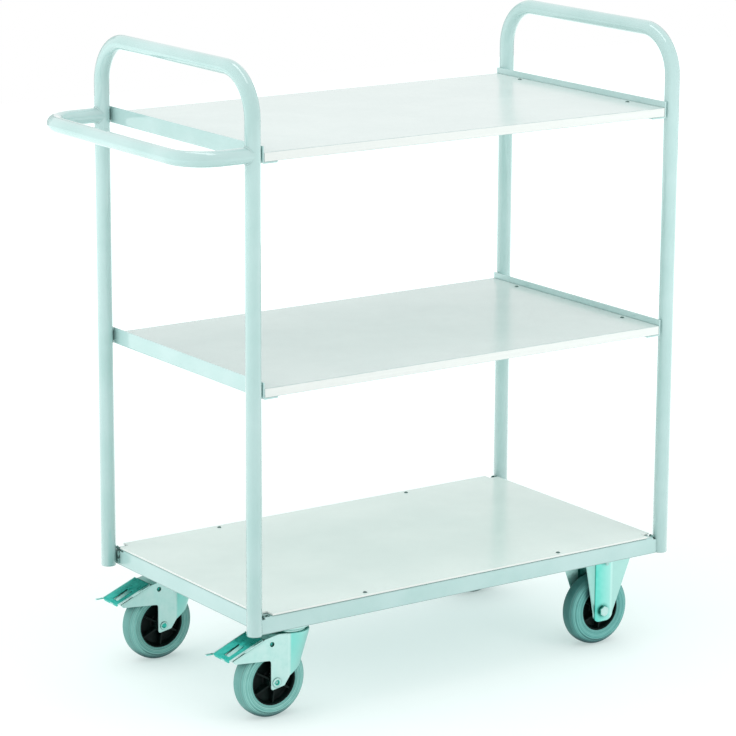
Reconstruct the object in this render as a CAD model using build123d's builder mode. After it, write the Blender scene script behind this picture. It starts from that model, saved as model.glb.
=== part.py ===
from build123d import *
import os

# Shelf trolley: two bent tube hoops, a push handle, three boards in angle rails and four casters.
# Millimetres. X runs along the trolley, with the handle at -X, and the front is at -Y.
# The origin is on the floor, below the middle of the whole trolley.

# Boards
board_length = 850
board_width = 500
upper_board_thickness = 16
bottom_board_thickness = 4
bottom_board_notch = 18

# Tube and folded angle
tube_diameter = 27
tube_wall = 2
angle_leg = 30
angle_thickness = 3
angle_bend = 4

# Fits of the frame: board to rail, rail to post, welded faces, and post axis to board edge
board_gap = 0.5
tube_gap = 2.5
weld_gap = 0.05
post_inset = 5

# Shelves: from board top to board top, then up to the hoops and down to the handle's axis
lower_shelf_pitch = 396
upper_shelf_pitch = 399
hoop_rise = 147
handle_drop = 3

# Bends, measured on the tube's axis, and the handle's reach from the posts
hoop_bend = 80
handle_bend = 62
handle_reach = 121

# Weld beads between the posts and the upper rails
bead_width = 4
bead_length = 20
bead_depth = 4
bead_start = 5

# Mount plates, welded between the flanges in the corners of the bottom frame
mount_plate_thickness = 5
mount_plate_margin = 3

# Wheels: the tyre is widest at its shoulders, and the hub stands a little out of the tyre
wheel_diameter = 135
tyre_width = 37
tread_width = 18
shoulder_height = 13
swivel_rim_diameter = 87
fixed_rim_diameter = 79
rim_width = 33
hub_proud = 4
tyre_fit = 0.05

# Casters: place inside the rails' faces, height over the wheel, plates, pressed sheet and axles
caster_inset_x = 89.5
caster_inset_y = 62
caster_head = 38
plate_length = 105
plate_width = 85
plate_thickness = 3.5
sheet = 2.5
axle_diameter = 10
running_gap = 0.08
bolt_flats = 13
bolt_head = 5.3
swivel_bolt_length_pitch = 80
swivel_bolt_width_pitch = 60
fixed_bolt_stand = 9.2

# Fixed fork: a flat web with two folded flanges that flare out towards the plate
fixed_hub_gap = 0.3
web_half = 19.5
flare_half = 52
flare_out = 15
flare_end_half = 22
flare_end_out = 1.4
flare_end_drop = 5
foot_drop = 20
foot_round = 14
axle_flats = 17
axle_head = 6.4
axle_nut = 8
thread_end = 2

# Swivel fork: a pressed shell with two flat cheeks, a nose that widens upwards to a round head, and a crown
swivel_hub_gap = 1
trail = 40
head_radius = 39.5
fold_x = 25
low_nose = 48
crown_rise = 19.5
crown_back = 3
leg_back = 11.6
heel_drop = 13
toe = 15.7
toe_drop = 8
knee = 27
knee_rise = 8
bulge = 56
bulge_rise = 35.5
brow = 77
brow_rise = 3
shoulder_x = -20
shoulder_rise = 15
tail_reach = 22.5
tail_drop = 13.5
tail_depth = 6
window_drop = 26
rivet_head_diameter = 17
rivet_head = 2

# Swivel head: the kingpin hangs the crown under a cup that is pressed out of the plate
kingpin_diameter = 12
kingpin_flats = 19
kingpin_nut = 5
cup_diameter = 78
head_gap = 0.1

# Brake: pedal with its ears and trunnions, and the shoe over the tyre
pivot_x = -9.5
pivot_rise = 3
trunnion_diameter = 6
pedal_reach = 29
pedal_tip_drop = 13
pedal_slope = 22
pedal_length = 73
pedal_width = 58
pedal_sheet = 2
pedal_window_length = 34
pedal_window_width = 26
pedal_window_start = 9
tongue_width = 14
tongue_length = 30
lip_length = 16
lip_width = 4.5
ear_gap = 0.5
ear_half = 7
ear_start = 46
ear_length = 24
shoe_width = 20
shoe_start = 47
shoe_length = 16
shoe_gap = 0.5

# Worked out: heights
wheel_radius = wheel_diameter / 2
caster_height = wheel_diameter + caster_head
plate_bottom = caster_height - plate_thickness
frame_z = caster_height
rail_top = frame_z + angle_leg
middle_board_top = rail_top + bottom_board_thickness + lower_shelf_pitch
top_board_top = middle_board_top + upper_shelf_pitch
handle_z = top_board_top - handle_drop
tube_radius = tube_diameter / 2
bar_z = top_board_top + hoop_rise - tube_radius
bend_z = bar_z - hoop_bend
axle_z = wheel_radius
crown_z = wheel_diameter + crown_rise
crown_bottom = crown_z - sheet
pivot_z = wheel_diameter + pivot_rise

# Worked out: places along and across the trolley
end_face = board_length / 2 + board_gap + angle_thickness
side_face = board_width / 2
post_x = end_face + tube_gap + tube_radius
post_y = side_face - post_inset
middle_x = handle_reach / 2
left_x = middle_x - post_x
right_x = middle_x + post_x
grip_x = left_x - handle_reach
caster_x = end_face - caster_inset_x
caster_y = side_face - caster_inset_y
swivel_x = middle_x - caster_x
fixed_x = middle_x + caster_x

# Worked out: sizes of the casters
axle_radius = axle_diameter / 2
hub_width = tyre_width + 2 * hub_proud
fixed_inside = hub_width + 2 * fixed_hub_gap
fixed_outside = fixed_inside + 2 * sheet
fixed_bolt_pitch = fixed_outside + 2 * fixed_bolt_stand
swivel_inside = hub_width + 2 * swivel_hub_gap
head_nose = trail + head_radius
cup_bottom = crown_z + head_gap

os.makedirs("parts", exist_ok=True)


def save(part, label):
    """Name a finished piece and write its file."""
    part.label = label
    export_step(part, f"parts/{label}.step")


def side_plane(x, y):
    """Upright plane along the trolley, with its origin on the floor."""
    return Plane(origin=(x, y, 0), x_dir=(1, 0, 0), z_dir=(0, -1, 0))


def outward_plane(direction):
    """Upright plane across a rail: its x axis points out of the trolley, its y axis up."""
    out = Vector(direction)
    return Plane(origin=(middle_x, 0, 0), x_dir=out, z_dir=out.cross(Vector(0, 0, 1)))


def angle_section(corner, across, up):
    """Section of the angle: its outer corner is rounded, and its legs run across and up from there."""
    x, z = corner
    inside = (x + across * angle_thickness, z + up * angle_thickness)
    outline = Polygon(
        corner,
        (x + across * angle_leg, z),
        (x + across * angle_leg, inside[1]),
        inside,
        (inside[0], z + up * angle_leg),
        (x, z + up * angle_leg),
        align=None,
    )
    fillet(outline.vertices().sort_by_distance(Vector(x, z))[0], angle_bend)


def clear_posts():
    """Cut the room of the four posts out of a piece that is welded to them."""
    with Locations((middle_x, 0, frame_z)):
        with GridLocations(2 * post_x, 2 * post_y, 2, 2):
            Cylinder(
                tube_radius + weld_gap,
                bar_z - frame_z,
                align=(Align.CENTER, Align.CENTER, Align.MIN),
                mode=Mode.SUBTRACT,
            )


def end_hoop(label, x):
    """Bent tube: a bar with two bends, round in section, on two posts that are open at the foot."""
    with BuildPart() as hoop:
        with BuildLine(Plane.YZ.offset(x)) as route:
            JernArc(start=(-post_y, bend_z), tangent=(0, 1), radius=hoop_bend, arc_size=-90)
            Line((hoop_bend - post_y, bar_z), (post_y - hoop_bend, bar_z))
            JernArc(start=(post_y - hoop_bend, bar_z), tangent=(1, 0), radius=hoop_bend, arc_size=-90)
        with BuildSketch(Plane.XY.offset(bend_z)):
            with Locations((x, -post_y)):
                Ellipse(tube_radius, tube_radius)
        sweep(path=route.line)
        with BuildSketch(Plane.XY.offset(frame_z)):
            with Locations((x, -post_y), (x, post_y)):
                Circle(tube_radius)
                Circle(tube_radius - tube_wall, mode=Mode.SUBTRACT)
        extrude(amount=bend_z - frame_z)
    save(hoop.part, label)


def upper_rail(label, side, board_top):
    """Folded angle at one end of an upper board, welded to the posts by a bead on each."""
    face_x = middle_x + side * end_face
    leg_z = board_top - upper_board_thickness - angle_thickness
    with BuildPart() as rail:
        with BuildSketch(Plane.XZ):
            angle_section((face_x, leg_z), -side, 1)
        extrude(amount=side_face, both=True)
        with BuildSketch(Plane.XY.offset(leg_z + bead_start)):
            bead_x = face_x + side * bead_depth / 2
            with Locations((bead_x, bead_width / 2 - post_y), (bead_x, bead_width / 2 + post_y)):
                Rectangle(bead_depth, bead_width)
        extrude(amount=bead_length)
        clear_posts()
    save(rail.part, label)


def bottom_rail(label, direction, face, leg_half, flange_half):
    """Folded angle with its leg on top. The flange runs on past the leg to meet its neighbours."""
    flange_height = angle_leg - angle_bend
    with BuildPart() as rail:
        with BuildSketch(outward_plane(direction)):
            angle_section((face, rail_top), -1, -1)
        extrude(amount=leg_half, both=True)
        with BuildSketch(outward_plane(direction)):
            with Locations((face - angle_thickness / 2, frame_z + flange_height / 2)):
                Rectangle(angle_thickness, flange_height)
        extrude(amount=flange_half, both=True)
        clear_posts()
    save(rail.part, label)


def upper_board(label, board_top):
    """Laminated board between two upper rails."""
    with BuildPart() as board:
        with BuildSketch(Plane((middle_x, 0, board_top))):
            Rectangle(board_length, board_width)
        extrude(amount=-upper_board_thickness)
    save(board.part, label)


end_hoop("left_end_hoop", left_x)
end_hoop("right_end_hoop", right_x)

# Push handle: a grip with two bends, round in section, on two arms that are shaped to the posts
with BuildPart() as push_handle:
    arm_x = grip_x + handle_bend
    with BuildLine(Plane.XY.offset(handle_z)) as grip_route:
        JernArc(start=(arm_x, -post_y), tangent=(-1, 0), radius=handle_bend, arc_size=-90)
        Line((grip_x, handle_bend - post_y), (grip_x, post_y - handle_bend))
        JernArc(start=(grip_x, post_y - handle_bend), tangent=(0, 1), radius=handle_bend, arc_size=-90)
    with BuildSketch(Plane.YZ.offset(arm_x)):
        with Locations((-post_y, handle_z)):
            Ellipse(tube_radius, tube_radius)
    sweep(path=grip_route.line)
    with BuildSketch(Plane.YZ.offset(arm_x)):
        with Locations((-post_y, handle_z), (post_y, handle_z)):
            Circle(tube_radius)
    extrude(amount=left_x - arm_x)
    clear_posts()
save(push_handle.part, "push_handle")

upper_rail("top_left_rail", -1, top_board_top)
upper_rail("top_right_rail", 1, top_board_top)
upper_rail("middle_left_rail", -1, middle_board_top)
upper_rail("middle_right_rail", 1, middle_board_top)
upper_board("top_board", top_board_top)
upper_board("middle_board", middle_board_top)

bottom_rail("bottom_front_rail", (0, -1, 0), side_face, end_face - angle_thickness, post_x)
bottom_rail("bottom_rear_rail", (0, 1, 0), side_face, end_face - angle_thickness, post_x)
bottom_rail("bottom_left_rail", (-1, 0, 0), end_face, side_face - angle_leg, side_face - angle_thickness)
bottom_rail("bottom_right_rail", (1, 0, 0), end_face, side_face - angle_leg, side_face - angle_thickness)

# Bottom board: thin, on top of the frame, with its corners cut back beside the posts
with BuildPart() as bottom_board:
    with BuildSketch(Plane((middle_x, 0, rail_top))):
        Rectangle(2 * end_face, board_width)
        with GridLocations(2 * end_face, board_width, 2, 2):
            Rectangle(2 * bottom_board_notch, 2 * bottom_board_notch, mode=Mode.SUBTRACT)
    extrude(amount=bottom_board_thickness)
save(bottom_board.part, "bottom_board")

# Mount plates: flat, in each corner of the frame, level with the lower edges of the flanges
with BuildPart() as mount_plates:
    inner_x = caster_x - plate_length / 2 - mount_plate_margin
    inner_y = caster_y - plate_width / 2 - mount_plate_margin
    outer_x = end_face - angle_thickness - weld_gap
    outer_y = side_face - angle_thickness - weld_gap
    with BuildSketch(Plane((middle_x, 0, frame_z))):
        with GridLocations(inner_x + outer_x, inner_y + outer_y, 2, 2):
            Rectangle(outer_x - inner_x, outer_y - inner_y)
    extrude(amount=mount_plate_thickness)
save(mount_plates.part, "caster_mount_plates")

# Caster bolts: hexagon heads under the caster plates
with BuildPart() as caster_bolts:
    with BuildSketch(Plane.XY.offset(plate_bottom)):
        with Locations((swivel_x, -caster_y), (swivel_x, caster_y)):
            with GridLocations(swivel_bolt_length_pitch, swivel_bolt_width_pitch, 2, 2):
                RegularPolygon(bolt_flats / 2, 6, major_radius=False)
        with Locations((fixed_x, -caster_y), (fixed_x, caster_y)):
            with GridLocations(0, fixed_bolt_pitch, 1, 2):
                RegularPolygon(bolt_flats / 2, 6, major_radius=False)
    extrude(amount=-bolt_head)
save(caster_bolts.part, "caster_bolts")


def wheel(place, x, y, rim_diameter):
    """Tyre of rubber on a plastic centre that swells towards its hub and has a plain bore."""
    axle = Axis((x, y, axle_z), (0, 1, 0))
    section = Plane(origin=(x, y, axle_z), x_dir=(0, 1, 0), z_dir=(1, 0, 0))
    rim_radius = rim_diameter / 2
    shoulder_radius = wheel_radius - shoulder_height
    with BuildPart() as tyre:
        with BuildSketch(section):
            Polygon(
                (-rim_width / 2, rim_radius + tyre_fit),
                (-tyre_width / 2, shoulder_radius),
                (-tread_width / 2, wheel_radius),
                (tread_width / 2, wheel_radius),
                (tyre_width / 2, shoulder_radius),
                (rim_width / 2, rim_radius + tyre_fit),
                align=None,
            )
        revolve(axis=axle)
    save(tyre.part, f"{place}_tyre")
    with BuildPart() as centre:
        with BuildSketch(section):
            Polygon(
                (-rim_width / 2, rim_radius),
                (-hub_width / 2, axle_radius + running_gap),
                (hub_width / 2, axle_radius + running_gap),
                (rim_width / 2, rim_radius),
                align=None,
            )
        revolve(axis=axle)
    save(centre.part, f"{place}_wheel_centre")


def fixed_caster(place, y, out):
    """Fixed caster: pressed fork with its plate, axle bolt with the head on the outer side, and nut."""
    web_y = (fixed_inside + sheet) / 2
    outer_y = fixed_outside / 2
    with BuildPart() as fork:
        with BuildSketch(Plane((fixed_x, y, plate_bottom))):
            Rectangle(plate_length, plate_width)
        extrude(amount=plate_thickness)
        for side in (-1, 1):
            with BuildSketch(Plane((fixed_x, y, axle_z - flare_end_drop))):
                with BuildLine():
                    Polyline(
                        (-flare_end_half, side * (web_y + flare_end_out)),
                        (-web_half, side * web_y),
                        (web_half, side * web_y),
                        (flare_end_half, side * (web_y + flare_end_out)),
                    )
                trace(line_width=sheet)
            with BuildSketch(Plane((fixed_x, y, plate_bottom))):
                with BuildLine():
                    Polyline(
                        (-flare_half, side * (web_y + flare_out)),
                        (-web_half, side * web_y),
                        (web_half, side * web_y),
                        (flare_half, side * (web_y + flare_out)),
                    )
                trace(line_width=sheet)
            loft(ruled=True)
            with BuildSketch(side_plane(fixed_x, y + side * web_y)) as foot:
                with Locations((0, axle_z - foot_drop / 2)):
                    Rectangle(2 * web_half, foot_drop)
                fillet(foot.vertices().group_by(Axis.Y)[0], foot_round)
            extrude(amount=sheet / 2, both=True)
        with BuildSketch(side_plane(fixed_x, y)):
            with Locations((0, axle_z)):
                Circle(axle_radius + weld_gap)
        extrude(amount=plate_width, both=True, mode=Mode.SUBTRACT)
    save(fork.part, f"{place}_fork")
    outer_plane = Plane(origin=(fixed_x, y + out * outer_y, axle_z), x_dir=(1, 0, 0), z_dir=(0, out, 0))
    inner_plane = Plane(origin=(fixed_x, y - out * outer_y, axle_z), x_dir=(1, 0, 0), z_dir=(0, -out, 0))
    with BuildPart() as bolt:
        with BuildSketch(outer_plane):
            RegularPolygon(axle_flats / 2, 6, major_radius=False)
        extrude(amount=axle_head)
        with BuildSketch(outer_plane):
            Circle(axle_radius)
        extrude(amount=-(2 * outer_y + axle_nut + thread_end))
    save(bolt.part, f"{place}_axle_bolt")
    with BuildPart() as nut:
        with BuildSketch(inner_plane):
            RegularPolygon(axle_flats / 2, 6, major_radius=False)
            Circle(axle_radius + weld_gap, mode=Mode.SUBTRACT)
        extrude(amount=axle_nut)
    save(nut.part, f"{place}_axle_nut")
    wheel(place, fixed_x, y, fixed_rim_diameter)


def swivel_caster(place, y, out):
    """Swivel caster with a brake: its axle trails the kingpin on the handle's side."""
    axle_x = swivel_x - trail
    upright = side_plane(axle_x, y)
    swivel_head(place, y)
    swivel_fork(place, axle_x, y)
    outer_half = swivel_inside / 2 + sheet
    with BuildPart() as rivet:
        with BuildSketch(upright):
            with Locations((0, axle_z)):
                Circle(axle_radius)
        extrude(amount=outer_half, both=True)
        with BuildSketch(Plane(origin=(axle_x, y + out * outer_half, axle_z), z_dir=(0, out, 0))):
            Circle(rivet_head_diameter / 2)
        extrude(amount=rivet_head)
    save(rivet.part, f"{place}_axle_rivet")
    brake_pedal(place, axle_x, y)
    wheel(place, axle_x, y, swivel_rim_diameter)


def swivel_head(place, y):
    """Top plate with its pressed cup, and the kingpin with its nut, which hangs under the cup."""
    with BuildPart() as top_plate:
        with BuildSketch(Plane((swivel_x, y, plate_bottom))):
            Rectangle(plate_length, plate_width)
        extrude(amount=plate_thickness)
        with BuildSketch(Plane((swivel_x, y, plate_bottom))):
            Circle(cup_diameter / 2)
        extrude(amount=cup_bottom - plate_bottom)
    save(top_plate.part, f"{place}_top_plate")
    with BuildPart() as kingpin:
        with BuildSketch(Plane((swivel_x, y, crown_bottom - head_gap))):
            RegularPolygon(kingpin_flats / 2, 6, major_radius=False)
        extrude(amount=-kingpin_nut)
        with BuildSketch(Plane((swivel_x, y, crown_bottom - head_gap))):
            Circle(kingpin_diameter / 2)
        extrude(amount=cup_bottom - crown_bottom + head_gap)
    save(kingpin.part, f"{place}_kingpin")


def swivel_fork(place, axle_x, y):
    """Fork pressed from one sheet: a wall that widens upwards round the nose, and a crown, cut to the outline."""
    inner = swivel_inside / 2
    outer = inner + sheet
    middle = inner + sheet / 2
    tail_x = -(wheel_radius + tail_reach)
    tail_z = wheel_diameter - tail_drop
    knee_point = (knee, axle_z + knee_rise)
    brow_point = (brow, wheel_diameter + brow_rise)
    with BuildPart() as fork:
        for height, nose in ((axle_z - heel_drop, low_nose), (crown_z, head_nose)):
            with BuildSketch(Plane((axle_x, y, height))):
                with BuildLine():
                    Polyline((fold_x, inner), (tail_x, inner), (tail_x, outer), (fold_x, outer))
                    ThreePointArc((fold_x, outer), (nose, 0), (fold_x, -outer))
                    Polyline((fold_x, -outer), (tail_x, -outer), (tail_x, -inner), (fold_x, -inner))
                    ThreePointArc((fold_x, -inner), (nose - sheet, 0), (fold_x, inner))
                make_face()
        loft(ruled=True)
        with BuildSketch(Plane((axle_x, y, crown_z))):
            with BuildLine():
                Polyline((fold_x, middle), (crown_back, middle), (crown_back, -middle), (fold_x, -middle))
                ThreePointArc((fold_x, -middle), (head_nose - sheet / 2, 0), (fold_x, middle))
            make_face()
        extrude(amount=-sheet)
        with BuildSketch(side_plane(axle_x, y)):
            with BuildLine():
                ThreePointArc(brow_point, (bulge, axle_z + bulge_rise), knee_point)
                Polyline(
                    knee_point,
                    (toe, axle_z - toe_drop),
                    (-leg_back, axle_z - heel_drop),
                    (-leg_back, wheel_diameter - window_drop),
                    (tail_x + tail_depth, tail_z - tail_depth),
                    (tail_x, tail_z),
                    (shoulder_x, wheel_diameter + shoulder_rise),
                    (crown_back, crown_z),
                    (head_nose, crown_z),
                    brow_point,
                )
            make_face()
        extrude(amount=head_nose, both=True, mode=Mode.INTERSECT)
        with BuildSketch(side_plane(axle_x, y)):
            with Locations((0, axle_z)):
                Circle(axle_radius + weld_gap)
            with Locations((pivot_x, pivot_z)):
                Circle(trunnion_diameter / 2 + running_gap)
        extrude(amount=head_nose, both=True, mode=Mode.SUBTRACT)
        with BuildSketch(Plane((swivel_x, y, crown_z))):
            Circle(kingpin_diameter / 2 + running_gap)
        extrude(amount=-sheet, mode=Mode.SUBTRACT)
    save(fork.part, f"{place}_fork")


def brake_pedal(place, axle_x, y):
    """Pressed pedal with a window, on two ears with trunnions, and the shoe under it."""
    upright = side_plane(axle_x, y)
    tip_x = -(wheel_radius + pedal_reach)
    tip_z = wheel_diameter - pedal_tip_drop
    tread = Plane(origin=(axle_x + tip_x, y, tip_z)).rotated((0, -pedal_slope, 0))
    along = Vector(1, 0).rotate(Axis.Z, pedal_slope)
    tip = Vector(tip_x, tip_z)
    with BuildPart() as pedal:
        with BuildSketch(tread):
            with Locations((pedal_length / 2, 0)):
                Rectangle(pedal_length, pedal_width)
            with Locations((pedal_window_start + pedal_window_length / 2, 0)):
                Rectangle(pedal_window_length, pedal_window_width, mode=Mode.SUBTRACT)
            with Locations((pedal_window_start + pedal_window_length - tongue_length / 2, 0)):
                Rectangle(tongue_length, tongue_width)
        extrude(amount=pedal_sheet)
        with BuildSketch(Plane((axle_x + tip_x, y, tip_z))):
            with Locations((-lip_length / 2 + pedal_sheet / 2, (pedal_width - lip_width) / 2)):
                Rectangle(lip_length + pedal_sheet, lip_width)
        extrude(amount=pedal_sheet)
        ear_y = swivel_inside / 2 - ear_gap - pedal_sheet / 2
        ear_back = tip + along * ear_start
        ear_front = tip + along * (ear_start + ear_length)
        for side in (-1, 1):
            with BuildSketch(side_plane(axle_x, y + side * ear_y)):
                Polygon(
                    ear_back,
                    (pivot_x - ear_half, pivot_z - ear_half),
                    (pivot_x + ear_half, pivot_z - ear_half),
                    (pivot_x + ear_half, pivot_z + ear_half),
                    ear_front,
                    align=None,
                )
            extrude(amount=pedal_sheet / 2, both=True)
            ear_face = y + side * (swivel_inside / 2 - ear_gap)
            with BuildSketch(Plane(origin=(axle_x + pivot_x, ear_face, pivot_z), z_dir=(0, side, 0))):
                Circle(trunnion_diameter / 2)
            extrude(amount=ear_gap + sheet)
    save(pedal.part, f"{place}_brake_pedal")
    shoe_back = tip + along * shoe_start
    shoe_front = tip + along * (shoe_start + shoe_length)
    with BuildPart() as shoe:
        with BuildSketch(upright):
            Polygon(
                (shoe_back.X, axle_z),
                (shoe_front.X, axle_z),
                shoe_front,
                shoe_back,
                align=None,
            )
            with Locations((0, axle_z)):
                Circle(wheel_radius + shoe_gap, mode=Mode.SUBTRACT)
        extrude(amount=shoe_width / 2, both=True)
    save(shoe.part, f"{place}_brake_shoe")


swivel_caster("front_left", -caster_y, -1)
swivel_caster("back_left", caster_y, 1)
fixed_caster("front_right", -caster_y, -1)
fixed_caster("back_right", caster_y, 1)
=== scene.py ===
import math

import bpy
import bmesh
from mathutils import Matrix, Vector
from mathutils.geometry import delaunay_2d_cdt


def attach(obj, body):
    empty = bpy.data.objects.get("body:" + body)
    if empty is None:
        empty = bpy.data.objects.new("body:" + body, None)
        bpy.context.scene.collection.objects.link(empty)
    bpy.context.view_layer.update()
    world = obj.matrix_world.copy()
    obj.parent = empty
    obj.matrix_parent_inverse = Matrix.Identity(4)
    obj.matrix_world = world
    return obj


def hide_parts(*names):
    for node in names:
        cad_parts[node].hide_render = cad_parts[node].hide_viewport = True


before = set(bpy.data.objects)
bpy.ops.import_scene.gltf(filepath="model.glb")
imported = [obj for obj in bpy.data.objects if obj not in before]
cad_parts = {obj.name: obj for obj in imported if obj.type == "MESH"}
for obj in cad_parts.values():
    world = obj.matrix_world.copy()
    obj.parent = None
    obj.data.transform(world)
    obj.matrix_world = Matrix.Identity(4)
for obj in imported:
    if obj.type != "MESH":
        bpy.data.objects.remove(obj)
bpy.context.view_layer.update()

# End hoops
# Two drawn steel tubes, each bent twice over a former into two posts and a top bar, with open feet.
# They are welded up with the rails and handle, then the whole frame is powder coated in gloss mint.

MM = 0.001
lengthwise = Vector((1, 0, 0))
tube_radius = 13.5
tube_wall = 2.0
left_x = -384.0
right_x = 505.0
middle_x = (left_x + right_x) / 2
post_y = 245.0
frame_z = 173.0
bar_z = 1135.5
hoop_bend = 80.0
foot_round = 0.6
bore_depth = 90.0


def linear(code):
    """sRGB hex to linear colour."""
    channels = [int(code[i:i + 2], 16) / 255 for i in (1, 3, 5)]
    return [c / 12.92 if c <= 0.04045 else ((c + 0.055) / 1.055) ** 2.4 for c in channels] + [1.0]


def feed(tree, node, inputs):
    """Sets inputs of a node: as values, or as links from a socket or from a node's first output in use."""
    for key, value in inputs.items():
        if isinstance(value, bpy.types.Node):
            value = next(socket for socket in value.outputs if socket.enabled)
        if isinstance(value, bpy.types.NodeSocket):
            tree.links.new(value, node.inputs[key])
        else:
            node.inputs[key].default_value = value


def add(tree, kind, inputs=None, **settings):
    """One node with its settings, values and links."""
    made = tree.nodes.new("ShaderNode" + kind)
    for key, value in settings.items():
        setattr(made, key, value)
    feed(tree, made, inputs or {})
    return made


def new_material(name):
    """An empty material with its tree, its shader and the place that its patterns follow."""
    made = bpy.data.materials.new(name)
    made.use_nodes = True
    tree = made.node_tree
    tree.nodes.clear()
    shader = add(tree, "BsdfPrincipled")
    add(tree, "OutputMaterial", {"Surface": shader})
    where = add(tree, "TexCoord").outputs["Object"]
    return made, tree, shader, where


def tint(tree, base, code, by, start, full, most=1.0):
    """A colour laid over a base, from none where a measure starts to the most where it is full."""
    share = add(tree, "MapRange", {"Value": by, "From Min": start, "From Max": full, "To Max": most})
    return add(tree, "Mix", {"Factor": share, 6: base, 7: linear(code)}, data_type="RGBA")


def mottle(tree, where, size, detail, low_code, high_code, low=0.0, high=1.0):
    """Two colours that drift into each other over a size in millimetres: gives the drift and the colour."""
    drift = add(tree, "TexNoise", {"Vector": where, "Scale": 1 / (size * MM), "Detail": detail})
    return drift, tint(tree, linear(low_code), high_code, drift, low, high)


# Polyester powder coat, sprayed dry and fused in an oven: glossy, with a fine orange peel of about 2 mm
# that is drawn at 5 mm to show, cloudy drifts of colour where the film is thicker, and a clear skin of resin
# on top that mirrors the lights. Its nooks are painted grey as painted shade, and the lowest millimetre of
# the frame is painted darker as painted shade at its feet.
powder_coat, tree, shader, where = new_material("gloss_mint_powder_coat")
drift, paint = mottle(tree, where, 90, 3.0, "#b1d2cf", "#bbd8d6", 0.35, 0.65)
peel = add(tree, "TexNoise", {"Vector": where, "Scale": 1 / (5 * MM), "Detail": 1.0})
gloss = add(tree, "MapRange", {
    "Value": drift, "From Min": 0.3, "From Max": 0.7, "To Min": 0.07, "To Max": 0.12,
})
orange_peel = add(tree, "Bump", {"Strength": 0.04, "Distance": 0.1 * MM, "Height": peel})
# Painted shade: the paint turns grey where ambient occlusion finds a nook.
nook_occlusion = add(tree, "AmbientOcclusion", {"Distance": 3 * MM}, samples=8)
paint_with_nook_shade = tint(tree, paint, "#688f8b", nook_occlusion.outputs["AO"], 0.85, 0.4, 0.55)
# Painted shade: the paint turns darker over the lowest millimetre of the frame.
height = add(tree, "SeparateXYZ", {"Vector": where})
paint_with_foot_shade = tint(tree, paint_with_nook_shade, "#7d9693", height.outputs["Z"], (frame_z + 1.6) * MM, (frame_z + 0.5) * MM, 0.7)
feed(tree, shader, {
    "Base Color": paint_with_foot_shade, "Roughness": gloss, "Normal": orange_peel,
    "IOR": 1.5, "Coat Weight": 1.0, "Coat Roughness": 0.04,
})


def piece(name, form, materials, body, nodes=(), sharp=None, centre=(0, 0, 0), face_slots=None):
    """A form in millimetres as a piece that rides on its body. Edges over the sharp angle stay crisp."""
    points, faces = form
    shift = Vector(centre)
    mesh = bpy.data.meshes.new(name)
    mesh.from_pydata([(Vector(p) - shift) * MM for p in points], [], faces)
    for material in materials:
        mesh.materials.append(material)
    if face_slots:
        for face, index in zip(mesh.polygons, face_slots):
            face.material_index = index
    clean = bmesh.new()
    clean.from_mesh(mesh)
    bmesh.ops.remove_doubles(clean, verts=clean.verts, dist=0.01 * MM)
    bmesh.ops.recalc_face_normals(clean, faces=clean.faces)
    clean.to_mesh(mesh)
    clean.free()
    mesh.shade_smooth()
    if sharp:
        mesh.set_sharp_from_angle(angle=math.radians(sharp))
    made = bpy.data.objects.new(name, mesh)
    made.location = shift * MM
    bpy.context.scene.collection.objects.link(made)
    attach(made, body)
    if nodes:
        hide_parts(*nodes)
    return made


def bent_line(corners, bend, steps=20):
    """The axis of a tube through its corners, each turned through a right angle on the bend's radius."""
    line = [corners[0]]
    for before, corner, after in zip(corners, corners[1:], corners[2:]):
        arrive = (corner - before).normalized()
        leave = (after - corner).normalized()
        pivot = corner - arrive * bend + leave * bend
        for i in range(steps + 1):
            turn = math.pi / 2 * i / steps
            line.append(pivot - leave * bend * math.cos(turn) + arrive * bend * math.sin(turn))
    line.append(corners[-1])
    return line


def directions(line, closed=False):
    """The direction of a line at each of its points."""
    last = len(line) - 1
    found = []
    for i in range(len(line)):
        before = line[i - 1] if i > 0 or closed else line[i]
        after = line[(i + 1) % len(line)] if i < last or closed else line[i]
        found.append((after - before).normalized())
    return found


def skin(rings, closed=False):
    """Points and faces of a skin over rings of equal count, capped at its ends unless they meet."""
    count = len(rings[0])
    points = [p for ring in rings for p in ring]
    faces = []
    for r in range(len(rings) if closed else len(rings) - 1):
        low = r * count
        high = (r + 1) % len(rings) * count
        for i in range(count):
            j = (i + 1) % count
            faces.append((low + i, low + j, high + j, high + i))
    if not closed:
        faces.append(tuple(reversed(range(count))))
        faces.append(tuple(range((len(rings) - 1) * count, len(rings) * count)))
    return points, faces


def ring(centre, direction, side, radius, count=48):
    """A circle of points across a direction."""
    other = direction.cross(side)
    turns = [2 * math.pi * i / count for i in range(count)]
    return [centre + side * radius * math.cos(t) + other * radius * math.sin(t) for t in turns]


def hoop_rings(x):
    """Rings of one hoop, with the bore and the broken edge of its open feet."""
    corners = [Vector((x, y, z)) for y, z in (
        (-post_y, frame_z), (-post_y, bar_z), (post_y, bar_z), (post_y, frame_z),
    )]
    line = bent_line(corners, hoop_bend)
    ways = directions(line)
    bore = tube_radius - tube_wall
    foot = ((bore_depth, bore), (foot_round, bore), (0, bore + foot_round), (0, tube_radius - foot_round),
            (foot_round, tube_radius))
    rings = [ring(line[0] + ways[0] * rise, ways[0], lengthwise, radius) for rise, radius in foot]
    rings += [ring(p, w, lengthwise, tube_radius) for p, w in zip(line[1:-1], ways[1:-1])]
    last, leave = line[-1], ways[-1]
    rings += [ring(last - leave * rise, leave, lengthwise, radius) for rise, radius in reversed(foot)]
    return rings


for name, x in (("left", left_x), ("right", right_x)):
    piece(f"{name}_hoop_tube", skin(hoop_rings(x)), [powder_coat], "frame",
          [f"{name}_end_hoop"], sharp=50)

# Push handle
# The same tube bent into a U and welded to the left hoop's posts just below the top board.
# Its arms are cut to the round of the posts, and a fillet weld runs round each joint under the powder coat.

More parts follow.
